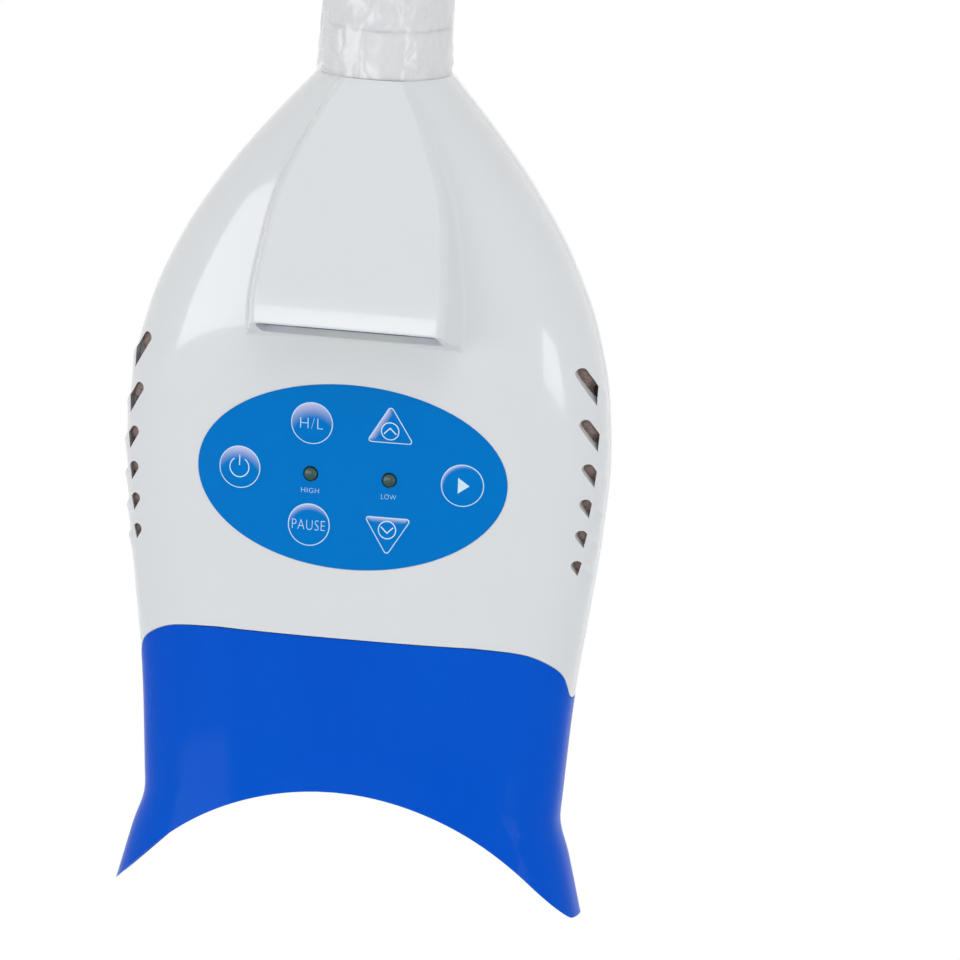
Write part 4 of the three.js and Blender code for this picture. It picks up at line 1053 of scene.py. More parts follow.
def words(text, x, z, height, width, weight=WORD_WEIGHT):
    """Plain capitals, as tall and as wide as the print, centred on a place."""
    curve = bpy.data.curves.new("words", "FONT")
    curve.body = text
    curve.size = WORD_SIZE
    curve.offset = weight
    curve.space_character = WORD_SPACING
    curve.resolution_u = 4
    thing = add_object("words", curve)
    bpy.context.view_layer.update()
    bm = bmesh.new()
    bm.from_mesh(thing.evaluated_get(bpy.context.evaluated_depsgraph_get()).to_mesh())
    bpy.data.objects.remove(thing)
    bpy.data.curves.remove(curve)
    xs, ys = zip(*((vert.co.x, vert.co.y) for vert in bm.verts))
    scale_x, scale_y = width / (max(xs) - min(xs)), height / (max(ys) - min(ys))
    for vert in bm.verts:
        vert.co = Vector((
            x + (vert.co.x - (max(xs) + min(xs)) / 2) * scale_x, 0,
            z + (vert.co.y - (max(ys) + min(ys)) / 2) * scale_y))
    return merged(bm, DOUBLES)


def print_on(surface, *forms):
    """Prints flat forms on a surface, given by how it lifts them, with the ink's thickness."""
    sheet = gather(*forms)
    bmesh.ops.triangulate(sheet, faces=sheet.faces)
    long_edges = [edge for edge in sheet.edges if edge.calc_length() > PRINT_FACE]
    bmesh.ops.subdivide_edges(sheet, edges=long_edges, cuts=2)
    bmesh.ops.triangulate(sheet, faces=sheet.faces)
    surface(sheet)
    return thicken_back(sheet, INK)


print("print line:", LINE, "mm")

# %% Signs
SIGN_INSET = 0.1
CLOCK_RADIUS = 3.05
CHEVRON = [(-2.15, -1), (0, 1.1), (2.15, -1)]
CHEVRON_LINE = 0.4
POWER_RADIUS = 3.45
POWER_GAP = 33
POWER_LINE = (0.7, 4.4)
PLAY = [(-1.4, -2.8), (2.6, 0), (-1.4, 2.8)]
sign_forms = {}
for name, (x, z) in ROUND_KEYS.items():
    sign_forms[name] = [ring_line(x, z, KEY_RADIUS - SIGN_INSET)]
for name, (x, z, tip) in ARROW_KEYS.items():
    outline = arrow_outline(tip, SIGN_INSET)
    loop = [(vert.co.x, vert.co.z) for vert in sorted(
        outline.verts, key=lambda v: math.atan2(v.co.z - z, v.co.x - x))]
    outline.free()
    chevron = [(x + across, z + tip * up) for across, up in CHEVRON]
    sign_forms[name] = [
        strip(loop, closed=True), ring_line(x, z, CLOCK_RADIUS), strip(chevron, CHEVRON_LINE)]
x, z = ROUND_KEYS["key_power"]
sign_forms["key_power"] += [
    strip(arc(x, z, POWER_RADIUS, POWER_GAP, 360 - POWER_GAP)),
    strip([(x, z + end) for end in POWER_LINE])]
sign_forms["key_high_low"].append(words("H/L", *ROUND_KEYS["key_high_low"], 3.8, 8.1))
sign_forms["key_pause"].append(words("PAUSE", *ROUND_KEYS["key_pause"], 3.5, 11.7))
x, z = ROUND_KEYS["key_start"]
sign_forms["key_start"].append(loop_of([(x + across, 0, z + up) for across, up in PLAY]))
signs = []
for name, forms in sign_forms.items():
    printed = print_on(lambda bm, name=name: lay_on_pad(name, bm, INK), *forms)
    signs.append(make_piece(f"{name}_sign", printed, name, ()))

LIGHT_WORD_DROP = 5.9
LIGHT_WORD_HEIGHT = 1.7
LIGHT_WORDS = (("HIGH", 6.3), ("LOW", 5.2))
light_words = [
    words(text, x, z - LIGHT_WORD_DROP, LIGHT_WORD_HEIGHT, width, LIGHT_WORD_WEIGHT)
    for (text, width), (x, z) in zip(LIGHT_WORDS, LEDS.values())
]
printed = print_on(lambda bm: bend_to_front(bm, PANEL_RISE + INK), *light_words)
signs.append(make_piece("light_words", printed, "head", ()))

# %% [markdown]
# ## Lights, display and foam
# The two indicator lights are domed lenses that stand through the film. Round pieces like them
# start as half an outline that is spun about its axis. The display lies in its pocket under the
# hood: a navy frame, a dark window and the digits, which are shaped segments. Dark foam behind
# the vents keeps dust out.

# %% Turned pieces
def turned(profile, steps, bevel=0.0, closed=True):
    """A form spun about Z from (radius, height) points; corners may be rounded first."""
    bm = loop_of([(radius, 0, height) for radius, height in profile], filled=bevel > 0)
    if bevel:
        off_axis = [vert for vert in bm.verts if vert.co.x > bevel]
        rounded(bm, off_axis, bevel, TURNED_CORNER_STEPS, "VERTICES")
        bmesh.ops.delete(bm, geom=list(bm.faces), context="FACES_ONLY")
    if not closed:
        axis = [edge for edge in bm.edges if all(vert.co.x < 0.0001 for vert in edge.verts)]
        bmesh.ops.delete(bm, geom=axis, context="EDGES_FACES")
    bmesh.ops.spin(
        bm, geom=[*bm.verts, *bm.edges], cent=(0, 0, 0), axis=(0, 0, 1), dvec=(0, 0, 0),
        angle=2 * math.pi, steps=steps, use_merge=True)
    return outward(merged(bm, DOUBLES))


# %% Indicator lights
LED_RISE = 1.3
LED_BACK = 4.2
dome = [(LED_RADIUS * math.cos(turn), LED_RISE * math.sin(turn))
        for turn in (math.radians(9 * i) for i in range(10))]
led_profile = [*dome, (0, LED_RISE), (0, -LED_BACK), (LED_RADIUS, -LED_BACK)]
leds = {}
for name, (x, z) in LEDS.items():
    place = Matrix.Translation((x, -front_reach(x, z), z)) @ FACING_FRONT
    lens = moved(turned(led_profile, 40, closed=False), place)
    leds[name] = make_piece(f"{name}_lens", lens, "head", [name])

# %% Display frame and window
FRAME_HALF_LENGTH = 31.9
FRAME_HALF_HEIGHT = 6.5
WINDOW_BACK = 3.3
WINDOW_SINK = 0.2
WINDOW_CORNER = 0.5
FRAME_CUT = (0, 9, 0.6)
frame_top = BEZEL_RECESS + BEZEL_THICKNESS
bezel = carve(
    block(FRAME_HALF_LENGTH, FRAME_HALF_HEIGHT, BEZEL_RECESS, frame_top, POCKET_CORNER - SEAM),
    block(WINDOW_LENGTH / 2 + SEAM, WINDOW_HEIGHT / 2 + SEAM, *FRAME_CUT))
bezel = make_piece(
    "display_frame", moved(bezel, FROM_END_FACE), "head", ["display_bezel"])
window = block(
    WINDOW_LENGTH / 2, WINDOW_HEIGHT / 2, BEZEL_RECESS + WINDOW_SINK, WINDOW_BACK,
    WINDOW_CORNER)
window = make_piece(
    "display_glass", moved(window, FROM_END_FACE), "head", ["display_window"])

# %% Digits
DIGIT_HEIGHT = 6.4
DIGIT_WIDTH = 3.6
DIGIT_PITCH = 6
DIGIT_LEFTS = [-2.7 * DIGIT_PITCH, -1.6 * DIGIT_PITCH, 0.8, 0.8 + 1.1 * DIGIT_PITCH]
DIGIT_SHIFT = 0.75 * DIGIT_PITCH
DIGIT_LINE = 0.95
DOT_RADIUS = 0.6 * DIGIT_LINE
DOT_PLACE = (-2.2, 0.22 * DIGIT_HEIGHT)
DIGIT_GAP = 0.12
DIGIT_SLANT = 0.1
SEGMENTS_LIT = {"2": "abged", "0": "abcdef"}


def segment(start, end):
    """A bar with pointed ends between two places, in the plane of the window."""
    start, end = Vector(start), Vector(end)
    along = (end - start).normalized()
    out = Vector((-along.y, along.x)) * DIGIT_LINE / 2
    start, end = start + along * DIGIT_GAP, end - along * DIGIT_GAP
    inner_start, inner_end = start + along * DIGIT_LINE / 2, end - along * DIGIT_LINE / 2
    outline = [start, inner_start - out, inner_end - out, end, inner_end + out, inner_start + out]
    return loop_of([(x, y, 0) for x, y in outline])


def digit(figure, left):
    w, h = DIGIT_WIDTH, DIGIT_HEIGHT / 2
    bars = {
        "a": ((0, h), (w, h)), "b": ((w, 0), (w, h)), "c": ((w, -h), (w, 0)),
        "d": ((0, -h), (w, -h)), "e": ((0, -h), (0, 0)), "f": ((0, 0), (0, h)),
        "g": ((0, 0), (w, 0)),
    }
    drawn = gather(*(segment(*bars[bar]) for bar in SEGMENTS_LIT[figure]))
    return moved(drawn, Matrix.Translation((left, 0, 0)))


digits = gather(
    *(digit(figure, left) for figure, left in zip("2000", DIGIT_LEFTS)),
    *(moved(disc(DOT_RADIUS, 20), Matrix.Translation((DOT_PLACE[0], side * DOT_PLACE[1], 0)))
      for side in (1, -1)))
for vert in digits.verts:
    vert.co.x += vert.co.y * DIGIT_SLANT + DIGIT_SHIFT
bmesh.ops.translate(outward(digits), vec=(0, 0, INK), verts=extruded(digits))
glass_front = Matrix.Translation((0, 0, BEZEL_RECESS + WINDOW_SINK - INK))
digits = moved(outward(digits), FROM_END_FACE @ glass_front)
digits = make_piece("display_digits", digits, "head", ())

# %% Foam behind the vents
FOAM_GRAIN = 0.18
FOAM_CELL = 1.1
FOAM_FACE = 1.3
FOAM_HALVINGS = 4
FOAM_BULGE = 2.1
FOAM_OUTER = 1.5
FOAM_ROUND = 0.6
FOAM_FRONT_TURN = 0.2


def bulge(x, z):
    """How far the foam, pressed to the wall, stands into a vent at a place."""
    share = 0
    for width_share, height_share in SLOT_SHARES:
        out, fall = x - width_share * HALF_WIDTH, -height_share * HEAD_LENGTH - z
        along = out * math.sin(SLOT_ANGLE) + fall * math.cos(SLOT_ANGLE)
        beside = out * math.cos(SLOT_ANGLE) - fall * math.sin(SLOT_ANGLE)
        room = SLOT_WIDTH / 2 - math.hypot(beside, min(along, 0))
        room = min(room, vent_limit(height_share) + FOAM_OUTER - x)
        share = max(share, min(room / FOAM_ROUND, 1))
    return FOAM_BULGE * share


foams = []
for side in ("left", "right"):
    foam = bmesh.new()
    foam.from_mesh(frame["nodes"][f"vent_filter_{side}"].data)
    merged(moved(foam, HEAD_TO_ROW.inverted()), 0.01)
    for _ in range(FOAM_HALVINGS):
        long_edges = [edge for edge in foam.edges if edge.calc_length() > FOAM_FACE]
        bmesh.ops.subdivide_edges(foam, edges=long_edges, cuts=1, use_grid_fill=True)
        bmesh.ops.triangulate(foam, faces=foam.faces)
    for vert in foam.verts:
        shift = -FOAM_GRAIN * abs(noise.noise(vert.co / FOAM_CELL))
        if vert.normal.y < FOAM_FRONT_TURN and vert.normal.x * vert.co.x > 0:
            shift += bulge(abs(vert.co.x), vert.co.z)
        vert.co += vert.normal * shift
    foams.append(make_piece(
        f"vent_foam_{side}", foam, "head", [f"vent_filter_{side}"]))

# %% [markdown]
# ## The neck
# The sleeve with the arm's socket, the collar under it and the steel tube that the head turns on
# are turned pieces with rounded corners. A thin clear film is wrapped round the neck. It is a
# tube of faces whose skin is creased: fans of pleats start wherever it is pulled tight, and flat
# crumpled facets lie between them.

# %% Neck pieces
NECK_RADIUS = 21.8
COLLAR = (0.3, 16.3)
SLEEVE_BOTTOM = 16.9
SEAT_LEVEL = 17.9
WASHER_BORE = 16.3
SOCKET_RADIUS = 15
SOCKET_FLOOR = 32
TUBE_RADIUS = 9
TUBE_BORE = 6.2
TUBE_REACH = 16
FLANGE_RADIUS = 13
FLANGE = (32.3, 35.3)
CLAMP_LEVEL = 53
CLAMP_HOLE = 2.5
CLAMP_HOLE_REACH = 40
EDGE_ROUND = 0.5

sleeve = turned([
    (WASHER_BORE, SLEEVE_BOTTOM), (NECK_RADIUS, SLEEVE_BOTTOM), (NECK_RADIUS, NECK_HEIGHT),
    (SOCKET_RADIUS, NECK_HEIGHT), (SOCKET_RADIUS, SOCKET_FLOOR), (NECK_HOLE, SOCKET_FLOOR),
    (NECK_HOLE, SEAT_LEVEL), (WASHER_BORE, SEAT_LEVEL)], 96, EDGE_ROUND)
clamp_hole = push_through(round_outline(0, CLAMP_LEVEL, CLAMP_HOLE, 32), 0, CLAMP_HOLE_REACH)
sleeve = make_piece(
    "neck_sleeve_fine", carve(sleeve, clamp_hole), "neck", ["neck_sleeve"])
collar = turned([
    (NECK_HOLE, COLLAR[0]), (NECK_RADIUS, COLLAR[0]), (NECK_RADIUS, COLLAR[1]),
    (NECK_HOLE, COLLAR[1])], 96, EDGE_ROUND)
collar = make_piece("neck_collar_fine", collar, "head", ["neck_collar"])
tube = turned([
    (TUBE_RADIUS, -TUBE_REACH), (TUBE_RADIUS, FLANGE[0]), (FLANGE_RADIUS, FLANGE[0]),
    (FLANGE_RADIUS, FLANGE[1]), (TUBE_BORE, FLANGE[1]), (TUBE_BORE, -TUBE_REACH)],
    64, 0.3)
tube = make_piece("swivel_tube_fine", tube, "neck", ["swivel_tube"])

# %% Clear film
FILM_RADIUS = 22.3
FILM_LEVELS = (0.08, 46)
FILM_THICKNESS = 0.06
FILM_SEGMENTS = 280
FILM_ROWS = 90
FILM_SMOOTH_ANGLE = math.radians(50)
FLARE_SIDE = 1.7
FLARE_ROUND = 0.35
PULL_COUNT = 12
PULL_TURN = math.radians(137.5)
PULL_REACH = 13
PLEATS = 9
PLEAT_DEPTH = 0.5
WAVE_DEPTH = 0.7
CRUMPLE = 6.5
CRUMPLE_DEPTH = 0.45
WAVE = 14
PULL_START = 5
PULL_CLIMB = 0.38
NOISE_RISE = 0.7


def pleats(turn, level):
    """Height of the wrapped film over the neck: fans of pleats, between flat crumpled facets."""
    height = 0
    for number in range(PULL_COUNT):
        away = (turn - number * PULL_TURN + math.pi) % (2 * math.pi) - math.pi
        pull_level = number * PULL_CLIMB % 1 * FILM_LEVELS[1]
        across, up = away * FILM_RADIUS, level - pull_level
        far, aim = math.hypot(across, up), math.atan2(across, up)
        fan = math.cos(aim * (PLEATS + number % 3) + number) * max(math.cos(aim - number), 0)
        height += PLEAT_DEPTH * fan * min(far / PULL_START, 1) * math.exp(-(far / PULL_REACH) ** 2)
    round_neck = Vector((
        math.cos(turn) * FILM_RADIUS, math.sin(turn) * FILM_RADIUS, level * NOISE_RISE))
    height += WAVE_DEPTH * noise.noise(round_neck / WAVE)
    distances, _ = noise.voronoi(round_neck / CRUMPLE, distance_metric="MANHATTAN")
    height += CRUMPLE_DEPTH * (distances[1] - distances[0])
    return max(height, 0)


def film_point(across, up):
    turn, share = math.pi * across, (up + 1) / 2
    level = FILM_LEVELS[0] + (FILM_LEVELS[1] - FILM_LEVELS[0]) * share
    to_side = max(-math.cos(turn), 0)
    flare = FLARE_SIDE * to_side ** 2 * (1 - share) ** 1.5 + FLARE_ROUND * (1 - share) ** 8
    out = FILM_RADIUS + flare + pleats(turn, level)
    return out * math.cos(turn), out * math.sin(turn), level


film = outward(merged(laid_grid(FILM_SEGMENTS, FILM_ROWS, film_point), DOUBLES))
bmesh.ops.solidify(film, geom=[*film.verts, *film.edges, *film.faces], thickness=FILM_THICKNESS)
film = make_piece(
    "neck_film_creased", outward(film), "neck", ["neck_film"], FILM_SMOOTH_ANGLE)

# %% [markdown]
# ## Screws
# Pan-head screws close the back. Each is turned, its cross is cut in, and it is set into its
# seat. The arm's clamp screw has no head and a six-sided socket.

# %% Screws that show
SCREW_SIZES = {"housing": (1.5, 20, SCREW_HEAD, 2.0), "shield": (1.5, 6, SCREW_HEAD, 1.6)}
PAN_SHARES = ((1, 0), (1, 0.45), (0.86, 0.8), (0.5, 1), (0, 1))
CROSS_SIZE = (3.2, 0.75)
CROSS_DEPTH = 1.1
CLAMP_RADIUS = 2.2
CLAMP_LENGTH = 6
CLAMP_SOCKET = (1.25, 4)


def pan_screw(shank, length, head, height):
    """A screw that stands on Z with the underside of its head at zero."""
    pan = [(head * out, height * up) for out, up in PAN_SHARES]
    form = turned([(shank, -length), (shank, 0), *pan, (0, -length)], 40, closed=False)
    arms = (
        block(across / 2, along / 2, height - CROSS_DEPTH, height + 1)
        for across, along in (CROSS_SIZE, CROSS_SIZE[::-1]))
    return carve(form, *arms)


def set_from_rear(form, place):
    return moved(form, Matrix.Translation(place) @ Matrix.Rotation(-math.pi / 2, 4, "X"))


screws = []
for kind, places in (("housing", housing_screws), ("shield", shield_screws)):
    for number, (x, y, z) in enumerate(places, 1):
        form = set_from_rear(pan_screw(*SCREW_SIZES[kind]), (x, y + SEAM, z))
        node = f"{kind}_screw_{number}"
        screws.append(make_piece(f"{node}_fine", form, "head", [node]))

clamp_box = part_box("arm_clamp_screw")
clamp = turned(
    [(0, 0), (CLAMP_RADIUS, 0), (CLAMP_RADIUS, CLAMP_LENGTH), (0, CLAMP_LENGTH)], 40, closed=False)
socket = bmesh.new()
bmesh.ops.create_cone(
    socket, cap_ends=True, segments=6, radius1=CLAMP_SOCKET[0], radius2=CLAMP_SOCKET[0],
    depth=CLAMP_SOCKET[1], matrix=Matrix.Translation((0, 0, CLAMP_LENGTH)))
clamp = set_from_rear(carve(clamp, socket), (0, clamp_box[0].y / MM, CLAMP_LEVEL))
screws.append(make_piece("arm_clamp_screw_fine", clamp, "neck", ["arm_clamp_screw"]))

# %% [markdown]
# ## How finishes are written
# A material is a graph of nodes, and sums read best as sums. A wire wraps an output socket, and
# an operator on it adds the Math node that works it out. The recipe of one finish is an object
# whose single method adds any other node: settings first, then the values or wires that go in.

# %% Shader maths
class Wire:
    """A value inside a material, which can be used in plain expressions."""

    def __init__(self, finish, socket):
        self.finish = finish
        self.socket = socket

    def worked(self, operation, first, second):
        return self.finish.node("ShaderNodeMath", {"operation": operation}, {0: first, 1: second})

    def __add__(self, other):
        return self.worked("ADD", self, other)

    def __sub__(self, other):
        return self.worked("SUBTRACT", self, other)

    def __rsub__(self, other):
        return self.worked("SUBTRACT", other, self)

    def __mul__(self, other):
        return self.worked("MULTIPLY", self, other)

    def __pow__(self, other):
        return self.worked("POWER", self, other)

    def __gt__(self, other):
        return self.worked("GREATER_THAN", self, other)

    def __lt__(self, other):
        return self.worked("LESS_THAN", self, other)

    def __mod__(self, other):
        return self.worked("FLOORED_MODULO", self, other)

    __radd__ = __add__
    __rmul__ = __mul__


class Finish:
    """A material under way: its surface shader, and one method that adds any other node."""

    def __init__(self, name):
        self.material = bpy.data.materials.new(name)
        self.material.use_nodes = True
        self.tree = self.material.node_tree
        self.surface = self.tree.nodes["Principled BSDF"]
        self.place = self.node(
            "ShaderNodeVectorMath", {"operation": "SCALE"},
            {0: self.node("ShaderNodeTexCoord", output="Object"), "Scale": 1 / MM})

    def node(self, kind, settings=None, values=None, output=0):
        made = self.tree.nodes.new(kind)
        for name, value in (settings or {}).items():
            if name == "stops":
                ramp = made.color_ramp
                ramp.elements[0].position, ramp.elements[0].color = value[0]
                ramp.elements[-1].position, ramp.elements[-1].color = value[-1]
                for position, color in value[1:-1]:
                    ramp.elements.new(position).color = color
            else:
                setattr(made, name, value)
        for name, value in (values or {}).items():
            self.join(value, made.inputs[name])
        return Wire(self, made.outputs[output])

    def join(self, value, socket):
        if isinstance(value, Wire):
            self.tree.links.new(value.socket, socket)
        else:
            socket.default_value = value

    def surface_is(self, **values):
        """Sets the surface shader's sockets; an underscore stands for a space."""
        for name, value in values.items():
            self.join(value, self.surface.inputs[name.replace("_", " ")])
        return self.material


def color(red, green, blue):
    """A colour as it is picked on a screen, 0 to 255, in the linear values a shader takes."""
    def linear(level):
        level /= 255
        return level / 12.92 if level <= 0.04045 else ((level + 0.055) / 1.055) ** 2.4
    return (linear(red), linear(green), linear(blue), 1)


def darker(shade, by):
    return [max(level - by, 0) for level in shade]


def clouds(finish, size, detail=2.0, stretch=(1, 1, 1), seed=0.0):
    """Soft noise from 0 to 1 whose spots are about size millimetres across."""
    at = finish.node(
        "ShaderNodeMapping", {},
        {"Vector": finish.place, "Scale": [1 / (size * part) for part in stretch],
         "Location": (seed, seed, seed)})
    return finish.node(
        "ShaderNodeTexNoise", {}, {"Vector": at, "Scale": 1, "Detail": detail}, output="Fac")


def mixed(finish, share, first, second):
    """A colour between two others."""
    return finish.node(
        "ShaderNodeMix", {"data_type": "RGBA"}, {0: share, 6: first, 7: second}, output=2)


def grain(finish, height, depth):
    """The surface's normal with a height of 0 to 1 raised by depth millimetres."""
    return finish.node(
        "ShaderNodeBump", {}, {"Height": height, "Distance": depth * MM, "Strength": 1},
        output="Normal")


def along_axis(finish, axis):
    """How far a point is along an axis of the piece: 0, 1 or 2 for X, Y or Z."""
    return finish.node("ShaderNodeSeparateXYZ", {}, {0: finish.place}, output=axis)


def two_toned(finish, share, first, second, roughness, height, depth, **more):
    """A finish that goes from one colour to another by a share, with relief on it."""
    return finish.surface_is(
        Base_Color=mixed(finish, share, color(*first), color(*second)), Roughness=roughness,
        Normal=grain(finish, height, depth), **more)


print("a white at 222, 226, 230 is", [round(part, 3) for part in color(222, 226, 230)])

# %% [markdown]
# ## Finishes of what shows
# The housing is glossy white plastic. Up close such a moulding isn't flat: its skin has a faint
# orange peel, its gloss drifts with the flow of the plastic, and handling leaves fine hairlines.
# These are too small to see one by one, yet they break the highlights the way a real part does.

# %% White mouldings
SCUFF_TURNS = ((0.5, 0), (-0.9, 7))
SCUFF_SHARES = (0.05, 1, 0.9)


def hairlines(finish, size, threshold, seed):
    """A mask of thin, long scuffs in two directions."""
    mask = 0
    for turn, number in SCUFF_TURNS:
        at = finish.node(
            "ShaderNodeMapping", {},
            {"Vector": finish.place, "Rotation": (0.2, turn, 0.3),
             "Scale": [1 / (size * share) for share in SCUFF_SHARES],
             "Location": (seed + number, seed, number)})
        line = finish.node(
            "ShaderNodeTexNoise", {}, {"Vector": at, "Scale": 1, "Detail": 1}, output="Fac")
        mask = (line > threshold) + mask
    return mask


def moulded_white(name, shade_of_white, gloss):
    finish = Finish(name)
    peel = clouds(finish, 1.7, 2)
    flow = clouds(finish, 46, 3, stretch=(1, 1, 1.8))
    smudge = clouds(finish, 15, 4, seed=3.7)
    scuffs = hairlines(finish, 16, 0.735, 2.1)
    warm = [level - drop for level, drop in zip(shade_of_white, (5, 5, 8))]
    return two_toned(
        finish, flow * 0.55, shade_of_white, warm,
        gloss + flow * 0.05 + smudge ** 3 * 0.22 + scuffs * 0.07, peel * 0.8 + flow * 0.2, 0.003,
        IOR=1.49, Coat_Weight=0.65, Coat_Roughness=0.03,
        Subsurface_Weight=0.04, Subsurface_Radius=(0.9, 0.95, 1), Subsurface_Scale=0.0012)


housing_white = moulded_white("moulded_white", (224, 227, 230), 0.1)
# Painted light: the neck's white is the housing's white made lighter, to stand in for more light
# on the neck.
neck_white_painted_lighter = moulded_white("neck_white_painted_lighter", (234, 236, 239), 0.16)

# %% [markdown]
# The shield is tinted plastic, and light goes a little way into it. A weak coat over a deep blue,
# with a faint flow pattern, shows that well enough without slow glass. The panel and the keys are
# satin film. A pale gradient along the upper edge of each key is a painted highlight, where light
# from above and to the left would catch its dome.

# %% Shield, panel and keys
BLUE_GLOSS = {"Specular_IOR_Level": 0.04, "Specular_Tint": (0.1, 0.45, 1, 1)}


def tinted_shield():
    finish = Finish("tinted_shield")
    flow = clouds(finish, 60, 2, stretch=(1, 1, 2.2), seed=1.3)
    swirl = clouds(finish, 9, 3, stretch=(1, 1, 2.5), seed=5.1)
    scuffs = hairlines(finish, 22, 0.74, 4.4)
    return two_toned(
        finish, flow * 0.8 + swirl * 0.2, (0, 78, 204), (0, 92, 212),
        0.24 + swirl * 0.06 + scuffs * 0.1, clouds(finish, 2.6, 1), 0.004,
        **BLUE_GLOSS, Coat_Weight=0.09, Coat_Roughness=0.1,
        Subsurface_Weight=0.08, Subsurface_Radius=(0.1, 0.35, 1), Subsurface_Scale=0.003)


def printed_film(name, shade_of_blue, roughness, depth):
    """Satin film printed on its back, with a dotted painted highlight at the top of each key."""
    finish = Finish(name)
    share = finish.node("ShaderNodeAttribute", {"attribute_name": "gleam"}, output="Fac")
    dots = clouds(finish, 0.3, 1, seed=5.5)
    # Painted highlight: the pale gradient at the top of each key, dotted like print.
    painted_highlight_mix = share ** 1.4 * (0.8 + dots * 0.4)
    emboss = clouds(finish, 0.32, 2, seed=2.2)
    ink = clouds(finish, 7, 4, seed=8.8)
    dark = color(*darker(shade_of_blue, 9))
    blue = mixed(finish, ink * 0.7, color(*shade_of_blue), dark)
    return finish.surface_is(
        Base_Color=mixed(finish, painted_highlight_mix, blue, color(214, 212, 240)),
        Roughness=roughness + emboss * 0.1 + ink * 0.05,
        Normal=grain(finish, emboss, depth),
        **BLUE_GLOSS, Coat_Weight=0.07, Coat_Roughness=0.2)


def white_print():
    finish = Finish("white_print")
    wear = clouds(finish, 0.5, 3)
    return two_toned(
        finish, (wear > 0.62) * 0.3, (206, 236, 252), (168, 214, 244), 0.35 + wear * 0.15,
        wear, 0.002)


shield_blue = tinted_shield()
panel_blue = printed_film("printed_panel", (0, 122, 205), 0.34, 0.004)
key_blue = printed_film("key_film", (0, 124, 207), 0.2, 0.002)
print_white = white_print()

# %% [markdown]
# A light's lens is tinted resin over a dark die cup. The navy frame and the smoked window are
# polished mouldings, and the digits glow. Open-cell foam is a web of cells, so its colour and its
# height both come from one cell pattern. Its colours are paler than the foam, and it glows
# faintly:
# painted light that fills the shade inside the vents.

# %% Lights, display and foam
def green_lens():
    finish = Finish("green_lens")
    body = clouds(finish, 1.6, 3, seed=1.1)
    return two_toned(
        finish, body, (2, 40, 36), (14, 74, 62), 0.3 + body * 0.06, body, 0.004,
        Coat_Weight=0.5, Coat_Roughness=0.04)


def polished_moulding(name, shade, deeper_shade, roughness):
    finish = Finish(name)
    flow = clouds(finish, 12, 3)
    dust = clouds(finish, 0.7, 2, seed=6)
    return two_toned(
        finish, flow, shade, deeper_shade, roughness + (dust > 0.68) * 0.2 + flow * 0.04,
        clouds(finish, 1.4), 0.003)


def lit_digits():
    finish = Finish("lit_digits")
    glow = clouds(finish, 2.4, 1)
    lime = mixed(finish, glow, color(150, 236, 24), color(182, 246, 60))
    return finish.surface_is(
        Base_Color=lime, Emission_Color=lime, Emission_Strength=0.3, Roughness=0.4)


def filter_foam_painted_glow():
    finish = Finish("filter_foam_painted_glow")
    cells = finish.node(
        "ShaderNodeTexVoronoi", {"feature": "F1"}, {"Vector": finish.place, "Scale": 1.15},
        output="Distance")
    dust = clouds(finish, 5, 3)
    # Painted light: both colours are paler than the foam, and its faint glow fills the shade that
    # the vent walls cast on it.
    return two_toned(
        finish, cells * 1.3, (150, 134, 128), (112, 98, 93), 0.85 + dust * 0.1, 1 - cells, 0.25,
        Emission_Color=color(150, 130, 124), Emission_Strength=0.16)


lens_green = green_lens()
frame_navy = polished_moulding("navy_moulding", (22, 52, 122), (14, 38, 96), 0.16)
window_smoked = polished_moulding("smoked_window", (16, 18, 24), (9, 10, 14), 0.06)
digits_lime = lit_digits()
brown_foam_with_painted_glow = filter_foam_painted_glow()

# %% [markdown]
# The film round the neck is clear, so most of it is left out by its alpha. It shows where it
# catches a light, and small waves between its pleats break those lights up.

# %% Clear film
def cling_film():
    finish = Finish("cling_film")
    sheet = clouds(finish, 7, 2, stretch=(1, 1, 1.5), seed=2.7)
    fine = clouds(finish, 1.8, 2, stretch=(1, 1, 2.4), seed=9.3)
    return finish.surface_is(
        Base_Color=color(250, 250, 252),
        Roughness=0.04 + sheet * 0.08,
        Alpha=0.34 + sheet * 0.24,
        Normal=grain(finish, sheet * 0.7 + fine * 0.3, 0.5),
        IOR=1.5, Coat_Weight=1.0, Coat_Roughness=0.05)


film_clear = cling_film()

# %% [markdown]
# ## Finishes of the inside
# Few of these show on the closed lamp, but the mouth of the shield, the grille and the vents let
# some of them be seen, and the opened lamp shows them all. Each gets what its process leaves:
# turning marks on steel, saw lines on extruded aluminium, tracks under the boards' resist.

# %% Metals
def zinc_steel(name, shade, roughness, ring=0.35):
    """Zinc plate over turned steel: fine rings round the axis and a clouded gloss."""
    finish = Finish(name)
    patch = clouds(finish, 2.2, 4, seed=4)
    lines = clouds(finish, ring, 1, stretch=(6, 6, 1))
    return two_toned(
        finish, patch, shade, darker(shade, 22), roughness + patch * 0.14, lines, 0.004,
        Metallic=1.0)


def sawn_aluminium(name, shade, roughness, along):
    finish = Finish(name)
    lines = clouds(finish, 0.3, 2, stretch=along)
    bloom = clouds(finish, 11, 4, seed=6.6)
    return two_toned(
        finish, bloom * 0.8, shade, darker(shade, 20),
        roughness + bloom * 0.12 + lines * 0.06, lines, 0.01, Metallic=1.0)


def mirror_coat():
    """Bright metal laid on plastic: a mirror with a faint wave and a clouded haze."""
    finish = Finish("mirror_coat")
    wave = clouds(finish, 6, 1)
    haze = clouds(finish, 20, 4, seed=3)
    return two_toned(
        finish, haze, (232, 234, 236), (216, 219, 223), 0.05 + haze ** 2 * 0.12, wave, 0.02,
        Metallic=1.0)


